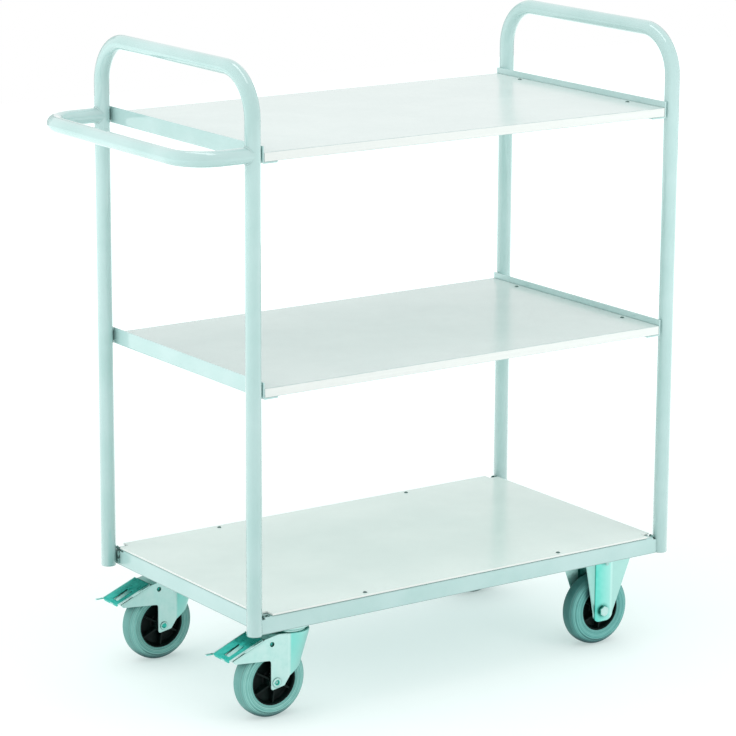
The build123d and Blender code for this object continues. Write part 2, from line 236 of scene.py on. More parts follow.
up = Vector((0, 0, 1))
handle_z = 999.0
grip_x = -505.0
handle_bend = 62.0
weld_ripple = 2.4
weld_swell = 0.1
weld_ends = (0.35, 0.75, 0.95)
off_every_weld = Vector((0.31, 0.2, 0.93))
saddle_steps = 96
saddle_proud = 0.4
saddle_flush = 1.6
saddle_least = 0.9
saddle_more = 1.0


def merged(*forms):
    """Several forms as one."""
    points, faces = [], []
    for more_points, more_faces in forms:
        start = len(points)
        points += list(more_points)
        faces += [tuple(i + start for i in face) for face in more_faces]
    return points, faces


def saddle(y):
    """The curve of the weld where an arm of the handle meets a post, drawn in where the tubes are flush."""
    found = []
    for i in range(saddle_steps):
        turn = 2 * math.pi * i / saddle_steps
        radius = tube_radius + saddle_proud - saddle_flush * math.cos(turn) ** 2
        dy = radius * math.cos(turn)
        reach = math.sqrt(max(tube_radius ** 2 - dy ** 2, 0))
        found.append(Vector((left_x - reach, y + dy, handle_z + radius * math.sin(turn))))
    return found


def weld_bead(line, radii, closed=False):
    """A weld bead along a line, with ripples where each drop of metal froze."""
    rings = []
    run = 0.0
    for i, (point, way, radius) in enumerate(zip(line, directions(line, closed), radii)):
        run += (point - line[i - 1]).length if i else 0
        swell = 1 + weld_swell * math.sin(2 * math.pi * run / weld_ripple)
        end = min(i, len(line) - 1 - i)
        if not closed and end < len(weld_ends):
            swell *= weld_ends[end]
        rings.append(ring(point, way, way.cross(off_every_weld).normalized(), radius * swell, 12))
    return skin(rings, closed)


corners = [Vector((x, y, handle_z)) for x, y in (
    (left_x, -post_y), (grip_x, -post_y), (grip_x, post_y), (left_x, post_y),
)]
line = bent_line(corners, handle_bend)
rings = [ring(p, w, up, tube_radius) for p, w in zip(line, directions(line))]
for end, y in ((0, -post_y), (-1, post_y)):
    for p in rings[end]:
        dy = min(abs(p.y - y), tube_radius)
        p.x = left_x - math.sqrt(tube_radius ** 2 - dy ** 2)
piece("push_handle_tube", skin(rings), [powder_coat], "frame", ["push_handle"], sharp=50)
turns = [2 * math.pi * i / saddle_steps for i in range(saddle_steps)]
saddle_radii = [saddle_least + saddle_more * abs(math.sin(t)) for t in turns]
welds = [weld_bead(saddle(y), saddle_radii, closed=True) for y in (-post_y, post_y)]
piece("push_handle_welds", merged(*welds), [powder_coat], "frame")

# Upper rails
# Four lengths of folded steel angle, leg inwards under a board's end and flange up outside it.
# Each stands a narrow slit off the two posts and is held to them by short upright welds.

crosswise = Vector((0, 1, 0))
rail_face = 428.5
rail_leg = 30.0
rail_thickness = 3.0
rail_bend = 4.0
rail_inner_bend = 1.0
rail_edge = 0.5
bevel_angle = math.radians(40)
weld_radius = 2.6
rail_weld_out = 1.6
rail_weld_aside = 4.2
rail_weld_margin = 5.0
side_face = 250.0
board_thickness = 16.0
shelf_tops = {"top": 1002.0, "middle": 603.0}


def angle_outline(corner, across):
    """Outline of the folded angle, with its outer and inner bends as arcs."""
    u, v = corner
    turns = [math.pi / 2 * i / 6 for i in range(7)]
    outer = [(rail_bend * (1 - math.sin(t)), rail_bend * (1 - math.cos(t))) for t in turns]
    centre = rail_thickness + rail_inner_bend
    inner = [(centre - rail_inner_bend * math.cos(t), centre - rail_inner_bend * math.sin(t)) for t in turns]
    path = [(rail_leg, 0.0)] + outer + [(0.0, rail_leg), (rail_thickness, rail_leg)] + inner
    path.append((rail_leg, rail_thickness))
    return [(u + across * a, v + b) for a, b in path]


def round_edges(made, width, material=-1):
    """Breaks the sharp edges of a piece by a small radius in millimetres."""
    edge = made.modifiers.new("broken_edges", "BEVEL")
    edge.width = width * MM
    edge.segments = 2
    edge.limit_method = "ANGLE"
    edge.angle_limit = bevel_angle
    edge.harden_normals = True
    edge.material = material


def prism(outline, along):
    """A closed outline drawn along a vector."""
    return skin([outline, [p + along for p in outline]])


def upright_weld(x, y, low, high, radius=weld_radius, steps=40):
    """A short weld run upwards."""
    line = [Vector((x, y, low + (high - low) * i / steps)) for i in range(steps + 1)]
    return weld_bead(line, [radius] * len(line))


for level, board_top in shelf_tops.items():
    leg_z = board_top - board_thickness - rail_thickness
    for name, side in (("left", -1), ("right", 1)):
        face_x = middle_x + side * rail_face
        outline = [Vector((u, -side_face, v)) for u, v in angle_outline((face_x, leg_z), -side)]
        form = prism(outline, crosswise * 2 * side_face)
        rail = piece(f"{level}_{name}_angle", form, [powder_coat], "frame",
                     [f"{level}_{name}_rail"])
        round_edges(rail, rail_edge)
        low, high = leg_z + rail_weld_margin, leg_z + rail_leg - rail_weld_margin
        weld_x = face_x + side * rail_weld_out
        welds = [upright_weld(weld_x, y + rail_weld_aside, low, high) for y in (-post_y, post_y)]
        piece(f"{level}_{name}_angle_welds", merged(*welds), [powder_coat], "frame")

# Upper boards
# Two chipboards faced in white melamine, with an edge band of ABS glued round them and trimmed flush.
# Each rests in its two rails and is held from above by small screws into the legs.

board_half = 425.0
band_round = 0.8

# Melamine facing, pressed hot on the chipboard: smooth and half glossy, with a faint print of the press
# plate at about 3 mm and pale clouds where the paper took more resin.
melamine, tree, shader, where = new_material("white_melamine_facing")
clouds, facing = mottle(tree, where, 160, 4.0, "#d3e2df", "#dae7e4", 0.35, 0.65)
plate = add(tree, "TexNoise", {"Vector": where, "Scale": 1 / (3 * MM), "Detail": 2.0})
gloss = add(tree, "MapRange", {
    "Value": clouds, "From Min": 0.3, "From Max": 0.7, "To Min": 0.17, "To Max": 0.25,
})
press_print = add(tree, "Bump", {"Strength": 0.05, "Distance": 0.1 * MM, "Height": plate})
feed(tree, shader, {"Base Color": facing, "Roughness": gloss, "Normal": press_print, "IOR": 1.5})

# ABS edge band, extruded and trimmed: whiter and a little duller than the facing, with fine lines along it
# from the trimming knife, about 1 mm apart.
edge_band, tree, shader, where = new_material("white_abs_edge_band")
knife = add(tree, "Mapping", {"Vector": where, "Scale": (4.0, 4.0, 1 / MM)})
lines = add(tree, "TexNoise", {"Vector": knife, "Scale": 1.0, "Detail": 2.0})
band = tint(tree, linear("#e6eae7"), "#eef1ee", lines, 0.3, 0.7)
feed(tree, shader, {"Base Color": band, "Roughness": 0.38, "IOR": 1.53})

# The glue line between facing and band: a hair of grey resin that has caught dust along the edge.
glue_line, tree, shader, where = new_material("grey_glue_line")
_, grey = mottle(tree, where, 25, 3.0, "#b3c8c5", "#d2e0de", 0.35, 0.65)
feed(tree, shader, {"Base Color": grey, "Roughness": 0.5})


def slab(outline, low, high):
    """A flat board over an outline, with the slots of its faces: the edges in the second material."""
    form = prism([Vector((x, y, low)) for x, y in outline], up * (high - low))
    return form, [1] * (len(form[1]) - 2) + [0, 0]


corners = ((-1, -1), (1, -1), (1, 1), (-1, 1))
outline = [(middle_x + sx * board_half, sy * side_face) for sx, sy in corners]
for level, board_top in shelf_tops.items():
    form, slots = slab(outline, board_top - board_thickness, board_top)
    board = piece(f"{level}_shelf_board", form, [melamine, edge_band, glue_line], "frame",
                  [f"{level}_board"], face_slots=slots)
    round_edges(board, band_round, material=2)

# Bottom frame
# Four lengths of the same angle, legs on top and turned in, welded into a frame between the posts' feet.
# The long flanges run on to the posts, and thick welds close the corners beside them.

rail_top = 203.0
post_x = (right_x - left_x) / 2
flange_end = post_x - 12.7
bottom_rails = {
    "bottom_front": (-crosswise, side_face, rail_face - rail_thickness, flange_end),
    "bottom_rear": (crosswise, side_face, rail_face - rail_thickness, flange_end),
    "bottom_left": (-lengthwise, rail_face, side_face - rail_leg, side_face - rail_thickness),
    "bottom_right": (lengthwise, rail_face, side_face - rail_leg, side_face - rail_thickness),
}
section = angle_outline((0, 0), 1)
flange = [(min(a, rail_thickness), max(b, rail_bend)) for a, b in section]
for name, (out, face, leg_half, flange_half) in bottom_rails.items():
    along = up.cross(out)
    cuts = ((flange, -flange_half), (flange, -leg_half), (section, -leg_half),
            (section, leg_half), (flange, leg_half), (flange, flange_half))
    rings = []
    for shape, reach in cuts:
        middle = lengthwise * middle_x + along * reach
        rings.append([middle + out * (face - a) + up * (rail_top - b) for a, b in shape])
    rail = piece(f"{name}_angle", skin(rings), [powder_coat], "frame", [f"{name}_rail"])
    round_edges(rail, rail_edge)

# Bare weld metal under thin powder, with spots of slag a few millimetres wide. Its dark colour is painted
# shade, put in the notched corners beside the posts.
dark_weld_shade, tree, shader, where = new_material("burnt_weld_painted_shade")
spots, weld_shade_colour = mottle(tree, where, 4, 2.0, "#8db5b0", "#163d38", 0.42, 0.56)
rough = add(tree, "Bump", {"Strength": 0.4, "Distance": 0.5 * MM, "Height": spots})
feed(tree, shader, {"Base Color": weld_shade_colour, "Roughness": 0.5, "Normal": rough})

# Places of the welds are along and across from the middle of a post, towards the middle of the frame.
painted_weld = (13.0, -4.2)
painted_weld_radius = 1.4
pocket_weld = (14.6, 10.8)
flat_weld_radius = 2.2
flat_weld_lift = 0.6
flat_weld_steps = 24
along_start = (14.5, -0.5)
across_start = (16.5, 3.0)
long_run = 17.0
short_run = 6.0
painted, bare = [], []
for x, side in ((left_x, 1), (right_x, -1)):
    for y in (-post_y, post_y):
        inward = -1 if y > 0 else 1
        painted.append(upright_weld(x + side * painted_weld[0], y + inward * painted_weld[1],
                                    frame_z + 3, rail_top - 5, painted_weld_radius))
        first_run = long_run if x < 0 and y < 0 else short_run
        for start, way, run in (
            (along_start, lengthwise * side, first_run), (across_start, crosswise * inward, short_run),
        ):
            first = Vector((x + side * start[0], y + inward * start[1], rail_top + flat_weld_lift))
            line = [first + way * run * i / flat_weld_steps for i in range(flat_weld_steps + 1)]
            bare.append(weld_bead(line, [flat_weld_radius] * len(line)))
        bare.append(upright_weld(x + side * pocket_weld[0], y + inward * pocket_weld[1],
                                 frame_z + 4, rail_top - 4))
piece("bottom_frame_welds", merged(*painted), [powder_coat], "frame")
# Painted shade: these dark welds fill the shaded notches in the frame's corners.
piece("corner_welds", merged(*bare), [dark_weld_shade], "frame")

# Bottom board
# A thin hard board, lacquered white and laid over the whole frame, with its corners cut out for the posts.
# Its edges carry a thin band like the others', and it beds on a tape whose dark colour is painted shade,
# which shows as a dark line under its edge.

bottom_thickness = 4.0
bedding = 0.9
tape_inset = 1.5
tape_squeeze = 0.3
notch = 18.0
thin_band_round = 0.35

# Foam tape under the board, squeezed flat: dull grey-green, mottled by its cells about 2 mm across. Its
# dark colour is painted shade in the gap under the board's edge.
tape_painted_shade, tree, shader, where = new_material("dark_tape_painted_shade")
_, tape_shade_colour = mottle(tree, where, 2, 2.0, "#6b8380", "#8ea5a2")
feed(tree, shader, {"Base Color": tape_shade_colour, "Roughness": 0.8})

# White lacquer on hard board, rolled on and cured: like the melamine facing, but painted a little whiter
# as painted light, to make up for the shade under the upper boards.
lightened_hard_board = melamine.copy()
lightened_hard_board.name = "white_hard_board_painted_lighter"
feed(lightened_hard_board.node_tree, lightened_hard_board.node_tree.nodes["Mix"], {6: linear("#dbebe6"), 7: linear("#e2f0eb")})

half_x, half_y = rail_face, side_face
notch_x, notch_y = half_x - notch, half_y - notch
corner_steps = (
    (-notch_x, -half_y), (notch_x, -half_y), (notch_x, -notch_y), (half_x, -notch_y),
    (half_x, notch_y), (notch_x, notch_y), (notch_x, half_y), (-notch_x, half_y),
    (-notch_x, notch_y), (-half_x, notch_y), (-half_x, -notch_y), (-notch_x, -notch_y),
)
outline = [(middle_x + x, y) for x, y in corner_steps]
board, slots = slab(outline, rail_top + bedding, rail_top + bottom_thickness)
tape_line = []
for x, y in corner_steps:
    inner_x, inner_y = (c - math.copysign(tape_inset, c) for c in (x, y))
    tape_line.append(Vector((middle_x + inner_x, inner_y, rail_top)))
tape = prism(tape_line, up * (bedding + tape_squeeze))
slots += [2] * len(tape[1])
board = piece("bottom_shelf_board", merged(board, tape), [lightened_hard_board, edge_band, tape_painted_shade], "frame",
              ["bottom_board"], face_slots=slots)
round_edges(board, thin_band_round, material=1)

# Caster mount plates
# Flat steel plates welded between the flanges in the bottom frame's corners, level with the flanges' edges.
# They are drilled for the caster bolts and coated with the frame.

caster_x = 339.0
caster_y = 188.0
plate_length = 105.0
plate_width = 85.0
mount_thickness = 5.0
mount_margin = 3.0
mount_corner = 3.0
mount_gap = 0.1
mount_inner = (caster_x - plate_length / 2 - mount_margin, caster_y - plate_width / 2 - mount_margin)
mount_outer = (rail_face - rail_thickness - mount_gap, side_face - rail_thickness - mount_gap)


def rounded_box(low, high, radius, steps=6):
    """Outline of a rectangle with round corners."""
    found = []
    for sx, sy, start in ((1, 1, 0), (-1, 1, 90), (-1, -1, 180), (1, -1, 270)):
        x = high[0] - radius if sx > 0 else low[0] + radius
        y = high[1] - radius if sy > 0 else low[1] + radius
        for i in range(steps + 1):
            turn = math.radians(start + 90 * i / steps)
            found.append((x + radius * math.cos(turn), y + radius * math.sin(turn)))
    return found


plates = []
for sx in (-1, 1):
    for sy in (-1, 1):
        xs = sorted((middle_x + sx * mount_inner[0], middle_x + sx * mount_outer[0]))
        ys = sorted((sy * mount_inner[1], sy * mount_outer[1]))
        outline = rounded_box((xs[0], ys[0]), (xs[1], ys[1]), mount_corner)
        plates.append(prism([Vector((x, y, frame_z)) for x, y in outline], up * mount_thickness))
mounts = piece("mount_plate_set", merged(*plates), [powder_coat], "frame",
               ["caster_mount_plates"])
round_edges(mounts, rail_edge)

# Swivel plates
# Each swivel caster hangs from a pressed plate with a round cup under it, which closes over the ball race
# and leaves a dark gap over the fork.
# The sheet is zinc plated and blue passivated, as all metal of the casters is.

plate_thickness = 3.5
plate_bottom = frame_z - plate_thickness
plate_corner = 7.0
plate_edge = 0.4
cup_bottom = 154.6
cup_radius = 39.0
swivel_x = middle_x - caster_x
fixed_x = middle_x + caster_x

# Bright zinc plate, blue passivated: a metal with a cool green cast, a soft spangle of about 6 mm and fine
# rolling lines from the strip, drawn at 1 mm to show. Its folds and corners are painted dark green as
# painted shade.
zinc, tree, shader, where = new_material("bright_zinc_plate")
stain, cast = mottle(tree, where, 18, 4.0, "#bae1dc", "#cdeae6", 0.3, 0.7)
spangle = add(tree, "TexVoronoi", {"Vector": where, "Scale": 1 / (6 * MM), "Randomness": 1.0})
rolled = add(tree, "Mapping", {"Vector": where, "Scale": (120.0, 120.0, 1 / MM)})
strip_lines = add(tree, "TexNoise", {"Vector": rolled, "Scale": 1.0, "Detail": 2.0})
bright = tint(tree, cast, "#d8f2ee", spangle, 0.0, 1.0, 0.2)
# Painted shade: dark green where ambient occlusion finds a fold or corner.
nook_occlusion = add(tree, "AmbientOcclusion", {"Distance": 8 * MM}, samples=8)
zinc_with_painted_shade = tint(tree, bright, "#1d7f73", nook_occlusion.outputs["AO"], 0.97, 0.55)
dull = add(tree, "MapRange", {
    "Value": stain, "From Min": 0.3, "From Max": 0.7, "To Min": 0.3, "To Max": 0.42,
})
rolling = add(tree, "Bump", {"Strength": 0.06, "Distance": 0.1 * MM, "Height": strip_lines})
feed(tree, shader, {"Base Color": zinc_with_painted_shade, "Roughness": dull, "Normal": rolling, "Metallic": 1.0})


def lathe(profile, centre, axis=up, count=64):
    """Rings of a profile of (along, radius) pairs turned about an axis through a centre."""
    home = Vector(centre)
    return [ring(home + axis * along, axis, lengthwise, radius, count) for along, radius in profile]


def caster_plate(x, y):
    """The flat plate on top of a caster."""
    low = (x - plate_length / 2, y - plate_width / 2)
    high = (x + plate_length / 2, y + plate_width / 2)
    outline = rounded_box(low, high, plate_corner)
    return prism([Vector((a, b, plate_bottom)) for a, b in outline], up * plate_thickness)


swivels = {"front_left": -caster_y, "back_left": caster_y}
cup_profile = (
    (0.5, cup_radius + 2), (-1.5, cup_radius + 0.5), (-3.5, cup_radius), (-8.0, cup_radius),
    (-8.8, cup_radius - 0.8), (-9.0, cup_radius - 7), (cup_bottom - plate_bottom, cup_radius - 7),
)
for place, y in swivels.items():
    form = merged(caster_plate(swivel_x, y), skin(lathe(cup_profile, (swivel_x, y, plate_bottom))))
    top = piece(f"{place}_swivel_plate", form, [zinc], "frame", [f"{place}_top_plate"])
    round_edges(top, plate_edge)
    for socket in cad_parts[f"{place}_kingpin"].material_slots:
        socket.material = zinc

# Caster bolts
# Hexagon bolts put through from above, each with a thin washer and a nut under the caster plate.
# Four hold each swivel plate, and two hold each fixed plate in the pockets outside its fork.

bolt_flats = 13.0
bolt_nut = 5.6
bolt_radius = 4.0
swivel_bolt_x = 40.0
swivel_bolt_y = 30.0
swivel_bolt_end = 0.8
fixed_bolts = 34.5
fixed_bolt_end = 5.0
washer_height = 1.3
washer_rim = bolt_flats / 2 + 1.6
thread_chamfer = 0.8


def hex_head(base, out, flats, height, hole=None, count=72):
    """A hexagon head or nut on its base, its corners turned to a cone, with a dished face or a hole."""
    side = lengthwise if abs(out.x) < 0.5 else crosswise
    other = out.cross(side)
    inner = flats / 2
    rings = []

    def level(reach, rise):
        found = []
        for i in range(count):
            turn = 2 * math.pi * i / count
            flat = (turn + math.pi / 6) % (math.pi / 3) - math.pi / 6
            corner = inner / math.cos(flat)
            radius = min(corner, reach) if reach else corner
            drop = max(corner - inner, 0) * 0.55 if not reach else 0
            spoke = side * radius * math.cos(turn) + other * radius * math.sin(turn)
            found.append(base + spoke + out * (rise - drop))
        return found

    if hole:
        rings.append(level(hole, 0))
    rings.append([p + out * 0.2 for p in level(inner * 0.985, 0)])
    rings.append([p - out * p.dot(out) + out * (base.dot(out) + 0.5) for p in level(None, 0)])
    rings.append(level(None, height - 0.15))
    rings.append(level(inner * 0.96, height))
    if hole:
        rings.append(level(hole + 0.5, height))
        rings.append(level(hole, height - 0.5))
        return skin(rings, closed=True)
    rings.append(level(inner * 0.8, height - 0.05))
    rings.append(level(inner * 0.74, height - 0.35))
    rings.append(level(inner * 0.2, height - 0.4))
    return skin(rings)


bolts = []
washer = ((0, washer_rim), (-washer_height + 0.3, washer_rim), (-washer_height, washer_rim - 0.4))
bolt_places = []
for y in swivels.values():
    for dx in (-swivel_bolt_x, swivel_bolt_x):
        bolt_places += [(swivel_x + dx, y + dy, swivel_bolt_end) for dy in (-swivel_bolt_y, swivel_bolt_y)]
for y in (-caster_y, caster_y):
    bolt_places += [(fixed_x, y + dy, fixed_bolt_end) for dy in (-fixed_bolts, fixed_bolts)]
for x, y, bolt_end in bolt_places:
    base = Vector((x, y, plate_bottom))
    bolts.append(skin(lathe(washer, base, count=40)))
    bolts.append(hex_head(base - up * washer_height, -up, bolt_flats, bolt_nut, bolt_radius))
    reach = washer_height + bolt_nut + bolt_end
    thread = ((-washer_height, bolt_radius), (thread_chamfer - reach, bolt_radius),
              (-reach, bolt_radius - thread_chamfer))
    bolts.append(skin(lathe(thread, base, count=24)))
piece("caster_bolt_set", merged(*bolts), [zinc], "frame", ["caster_bolts"], sharp=30)

# Board screws
# Small pan-head screws with a cross recess, driven from above through the boards into the legs of the angle.
# Four hold each upper board near its corners, and four the long edges of the bottom board.

screw_radius = 4.0
screw_height = 1.7
recess_reach = 2.3
recess_width = 0.6
recess_depth = 0.9
bottom_screws = (212.0, 238.0)
shelf_screws = (412.0, 160.0)

# Phosphated steel, oiled: a dark grey-green metal, mottled by crystals about 1 mm across.
phosphate, tree, shader, where = new_material("dark_phosphated_steel")
_, crystals = mottle(tree, where, 1, 2.0, "#3d5552", "#7d9794")
feed(tree, shader, {"Base Color": crystals, "Metallic": 1.0, "Roughness": 0.35})


def pan_head(x, y, z, count=48):
    """A low domed head with a cross cut into it."""
    rings = []
    for k in range(9):
        reach = screw_radius * (1 - k / 8.4)
        height = screw_height * (1 - (reach / screw_radius) ** 4)
        row = []
        for i in range(count):
            turn = 2 * math.pi * i / count
            u, v = reach * math.cos(turn), reach * math.sin(turn)
            cut = reach < recess_reach and min(abs(u), abs(v)) < recess_width
            row.append(Vector((x + u, y + v, z + (height - recess_depth if cut else height))))
        rings.append(row)
    return skin([[Vector((p.x, p.y, z - 0.2)) for p in rings[0]]] + rings)


heads = []
screwed = [(bottom_screws, rail_top + bottom_thickness)] + [(shelf_screws, z) for z in shelf_tops.values()]
for (dx, dy), z in screwed:
    heads += [pan_head(middle_x + sx * dx, sy * dy, z) for sx in (-1, 1) for sy in (-1, 1)]
piece("board_screw_set", merged(*heads), [phosphate], "frame", sharp=35)

# Swivel forks
# Each fork is pressed from one sheet: a wall bent round the nose into two cheeks, closed on top by a crown.
# The nose widens upwards to a round head, and the cheeks run back under the brake pedal, clear of the tyre.

axle_z = 67.5
trail = 40.0
axle_x = swivel_x - trail
fork_half = 26.0
fork_sheet = 2.5
fold_x = 25.0
heel_z = 54.5
low_nose = 48.0
crown_nose = 79.5
crown_z = 154.5
crown_round = 5.0
crown_tight = 1.2
crown_back = -25.0
crown_fall = 0.19
nose_run = 50.0
nose_steps = 14
knee = (27.0, 75.5)
nose_bulge = (56.0, 103.0)
nose_brow = (77.0, 138.0)
pivot = Vector((-9.5, 138.0))
pivot_radius = 4.6


def rounded(corners, steps=6):
    """A closed outline with each corner (x, y, radius) turned to an arc."""
    found = []
    count = len(corners)
    for i, (x, y, radius) in enumerate(corners):
        here = Vector((x, y))
        if radius == 0:
            found.append(here)
            continue
        before = (Vector(corners[i - 1][:2]) - here).normalized()
        after = (Vector(corners[(i + 1) % count][:2]) - here).normalized()
        half = math.acos(max(-1, min(1, before.dot(after)))) / 2
        reach = radius / math.tan(half)
        centre = here + (before + after).normalized() * radius / math.sin(half)
        first = here + before * reach - centre
        last = here + after * reach - centre
        start = math.atan2(first.y, first.x)
        sweep = (math.atan2(last.y, last.x) - start + math.pi) % (2 * math.pi) - math.pi
        for k in range(steps + 1):
            turn = start + sweep * k / steps
            found.append(centre + Vector((math.cos(turn), math.sin(turn))) * radius)
    return found


def divided(outline, longest):
    """The outline with its long runs divided, so that a bent sheet follows its form."""
    found = []
    for i, p in enumerate(outline):
        q = outline[(i + 1) % len(outline)]
        cuts = max(1, math.ceil((q - p).length / longest))
        found += [p + (q - p) * k / cuts for k in range(cuts)]
    return found


def within(p, outlines):
    """Whether a point lies on the sheet: inside the outline and outside the holes."""
    crossings = 0
    for outline in outlines:
        for a, b in zip(outline, outline[1:] + outline[:1]):
            if (a.y > p.y) != (b.y > p.y) and p.x < a.x + (p.y - a.y) / (b.y - a.y) * (b.x - a.x):
                crossings += 1
    return crossings % 2 == 1


def flat_blank(outlines, spacing):
    """A flat sheet over an outline, with holes for further outlines, in triangles of about one spacing."""
    points, edges = [], []
    for outline in outlines:
        start = len(points)
        points += outline
        edges += [(start + i, start + (i + 1) % len(outline)) for i in range(len(outline))]
    low = [min(p[k] for p in outlines[0]) for k in (0, 1)]
    high = [max(p[k] for p in outlines[0]) for k in (0, 1)]
    border = list(points)
    for a in range(int((high[0] - low[0]) / spacing) + 1):
        for b in range(int((high[1] - low[1]) / spacing) + 1):
            p = Vector((low[0] + (a + 0.5) * spacing, low[1] + (b + 0.5) * spacing))
            if all((p - q).length > spacing * 0.55 for q in border):
                points.append(p)
    found = delaunay_2d_cdt(points, edges, [], 1, 1e-4)
    places = [Vector(p) for p in found[0]]
    faces = [tuple(f) for f in found[2]]
    faces = [f for f in faces if within(sum((places[i] for i in f), Vector((0, 0))) / len(f), outlines)]
    used = sorted({i for f in faces for i in f})
    order = {old: new for new, old in enumerate(used)}
    return [places[i] for i in used], [tuple(order[i] for i in f) for f in faces]


def round_hole(centre, radius, count=20):
    """Outline of a round hole."""
    turns = [2 * math.pi * i / count for i in range(count)]
    return [centre + Vector((math.cos(t), math.sin(t))) * radius for t in turns]


def open_sheet(rows):
    """A sheet over rows of points, open at its edges."""
    count = len(rows[0])
    faces = []
    for r in range(len(rows) - 1):
        for a in range(r * count, (r + 1) * count - 1):
            faces.append((a, a + 1, a + 1 + count, a + count))
    return [p for row in rows for p in row], faces


def nose_round(z):
    """Centre, radius and half turn of the nose's round at a height."""
    reach = low_nose + (crown_nose - low_nose) * (z - heel_z) / (crown_z - heel_z)
    centre = (reach ** 2 - fold_x ** 2 - fork_half ** 2) / (2 * (reach - fold_x))
    return centre, reach - centre, math.atan2(fork_half, fold_x - centre)


def wall_place(s, z):
    """A point of the fork's flat blank, bent round the nose: s runs from the tail to the nose's middle."""
    if s <= fold_x:
        return Vector((s, fork_half, z))
    centre, radius, half_turn = nose_round(z)
    turn = half_turn * (1 - (s - fold_x) / nose_run)
    return Vector((centre + radius * math.cos(turn), radius * math.sin(turn), z))


def nose_edge(steps=24):
    """The lower edge of the nose in the blank: seen from the side, an arc from its middle to the knee."""
    a, b, c = (Vector((*p, 0)) for p in (knee, nose_bulge, nose_brow))
    normal = (b - a).cross(c - a)
    to_b = (b - a).length_squared * (c - a).cross(normal)
    to_c = (c - a).length_squared * normal.cross(b - a)
    centre = a + (to_b + to_c) / (-2 * normal.length_squared)
    arm = a - centre
    sweep = math.atan2(arm.cross(c - centre).z, arm.dot(c - centre))
    found = []
    for i in range(steps + 1):
        p = centre + Matrix.Rotation(sweep * i / steps, 3, "Z") @ arm
        middle, radius, half_turn = nose_round(p.y)
        share = min(1, (p.x - middle) / radius)
        s = p.x if p.x <= fold_x else fold_x + nose_run * (1 - math.acos(share) / half_turn)
        found.append(Vector((s, p.y)))
        if share == 1:
            break
    return list(reversed(found))


def crown_edge(s):
    """Radius of the edge between wall and crown: tight along the cheeks and full round the nose."""
    return crown_tight + (crown_round - crown_tight) * min(1, max(0, (s - 4) / (fold_x - 4)))


def wall_top(s):
    """Height where the wall turns into the crown, which falls towards its back edge."""
    return crown_z - crown_edge(s) - crown_fall * max(0, 3 - s)


def crown_pole(s, z):
    """The point inside the crown that its edge turns towards: along the middle, and round the kingpin."""
    share = max(0, (s - fold_x) / nose_run)
    return Vector((min(s, fold_x) + (trail - fold_x) * share, 0, z))


def fork_shell():
    """Points and faces of one fork's outer skin, from its axle's axis and above the floor."""
    nose = [fold_x + nose_run * i / nose_steps for i in range(nose_steps + 1)]
    crown_line = [crown_back + (fold_x - crown_back) * i / 8 for i in range(8)] + nose
    lower = nose_edge()
    upper = [Vector((s, wall_top(s))) for s in crown_line]
    back_top = wall_top(crown_back)
    tail = rounded([
        (*lower[-2], 0), (*knee, 4), (15.7, 59.5, 4), (-11.6, heel_z, 4), (-11.6, 109, 5), (-84, 115.5, 3),
        (-90, 121.5, 1.5), (crown_back - 1, back_top - 0.3, 0), (crown_back, back_top, 0),
    ])
    outline = divided(lower[:-2] + tail[:-1] + upper, 6)
    blank, faces = flat_blank([outline, round_hole(pivot, pivot_radius)], 5)
    half = [wall_place(p.x, p.y) for p in blank]
    rows = []
    for i in range(7):
        turn = math.pi / 2 * i / 6
        row = []
        for s in crown_line:
            inset = crown_edge(s) * (1 - math.cos(turn))
            p = wall_place(s, wall_top(s) + crown_edge(s) * math.sin(turn))
            row.append(p + (crown_pole(s, p.z) - p).normalized() * inset)
        rows.append(row)
    rim = rows[-1]
    for share in (0.3, 0.6, 1.0):
        rows.append([edge.lerp(crown_pole(s, edge.z), share) for s, edge in zip(crown_line, rim)])
    points, faces = merged((half, faces), open_sheet(rows))
    other = [Vector((p.x, -p.y, p.z)) for p in points]
    return merged((points, faces), (other, [tuple(reversed(f)) for f in faces]))


def sheet_metal(made, thickness, offset=-1):
    """Gives a pressed form the thickness of its sheet, inwards or to both sides, and broken edges."""
    sheet = made.modifiers.new("sheet", "SOLIDIFY")
    sheet.thickness = thickness * MM
    sheet.offset = offset
    sheet.use_even_offset = True
    round_edges(made, rail_edge)


def stained_zinc(name):
    """A copy of the zinc plate to stain further, with its tree, shader, place and colour so far."""
    made = zinc.copy()
    made.name = name
    tree = made.node_tree
    shader = tree.nodes["Principled BSDF"]
    where = tree.nodes["Texture Coordinate"].outputs["Object"]
    plated = shader.inputs["Base Color"].links[0].from_socket
    return made, tree, shader, where, plated


# The same zinc on a pressed nose, with a painted highlight as a bright line along the fold. Past the fold
# the nose is painted aqua as a painted reflection of the shaded floor, deepest under the crown and paler
# towards its front edge.
fork_zinc, tree, shader, where, plated = stained_zinc("pressed_zinc_painted_reflection")
in_fork = add(tree, "SeparateXYZ", {"Vector": where})
past_fold = add(tree, "MapRange", {
    "Value": in_fork.outputs["X"], "From Min": (fold_x + 1) * MM, "From Max": (fold_x + 4) * MM,
})
to_front = add(tree, "MapRange", {
    "Value": in_fork.outputs["X"], "From Min": (fold_x + 6) * MM, "From Max": (crown_nose - 6) * MM,
    "To Min": 1.0, "To Max": 0.3,
})
to_crown = add(tree, "MapRange", {
    "Value": in_fork.outputs["Z"], "From Min": 0.0, "From Max": (crown_z - axle_z - 20) * MM, "To Min": 0.5,
})
# Painted reflection: the share of aqua on the nose past the fold.
nose_reflection_share = add(tree, "Math", {0: past_fold, 1: to_front}, operation="MULTIPLY")
nose_reflection_share = add(tree, "Math", {0: nose_reflection_share, 1: to_crown}, operation="MULTIPLY")
nose_painted_reflection = add(tree, "Mix", {"Factor": nose_reflection_share, 6: plated, 7: linear("#8adbd1")}, data_type="RGBA")
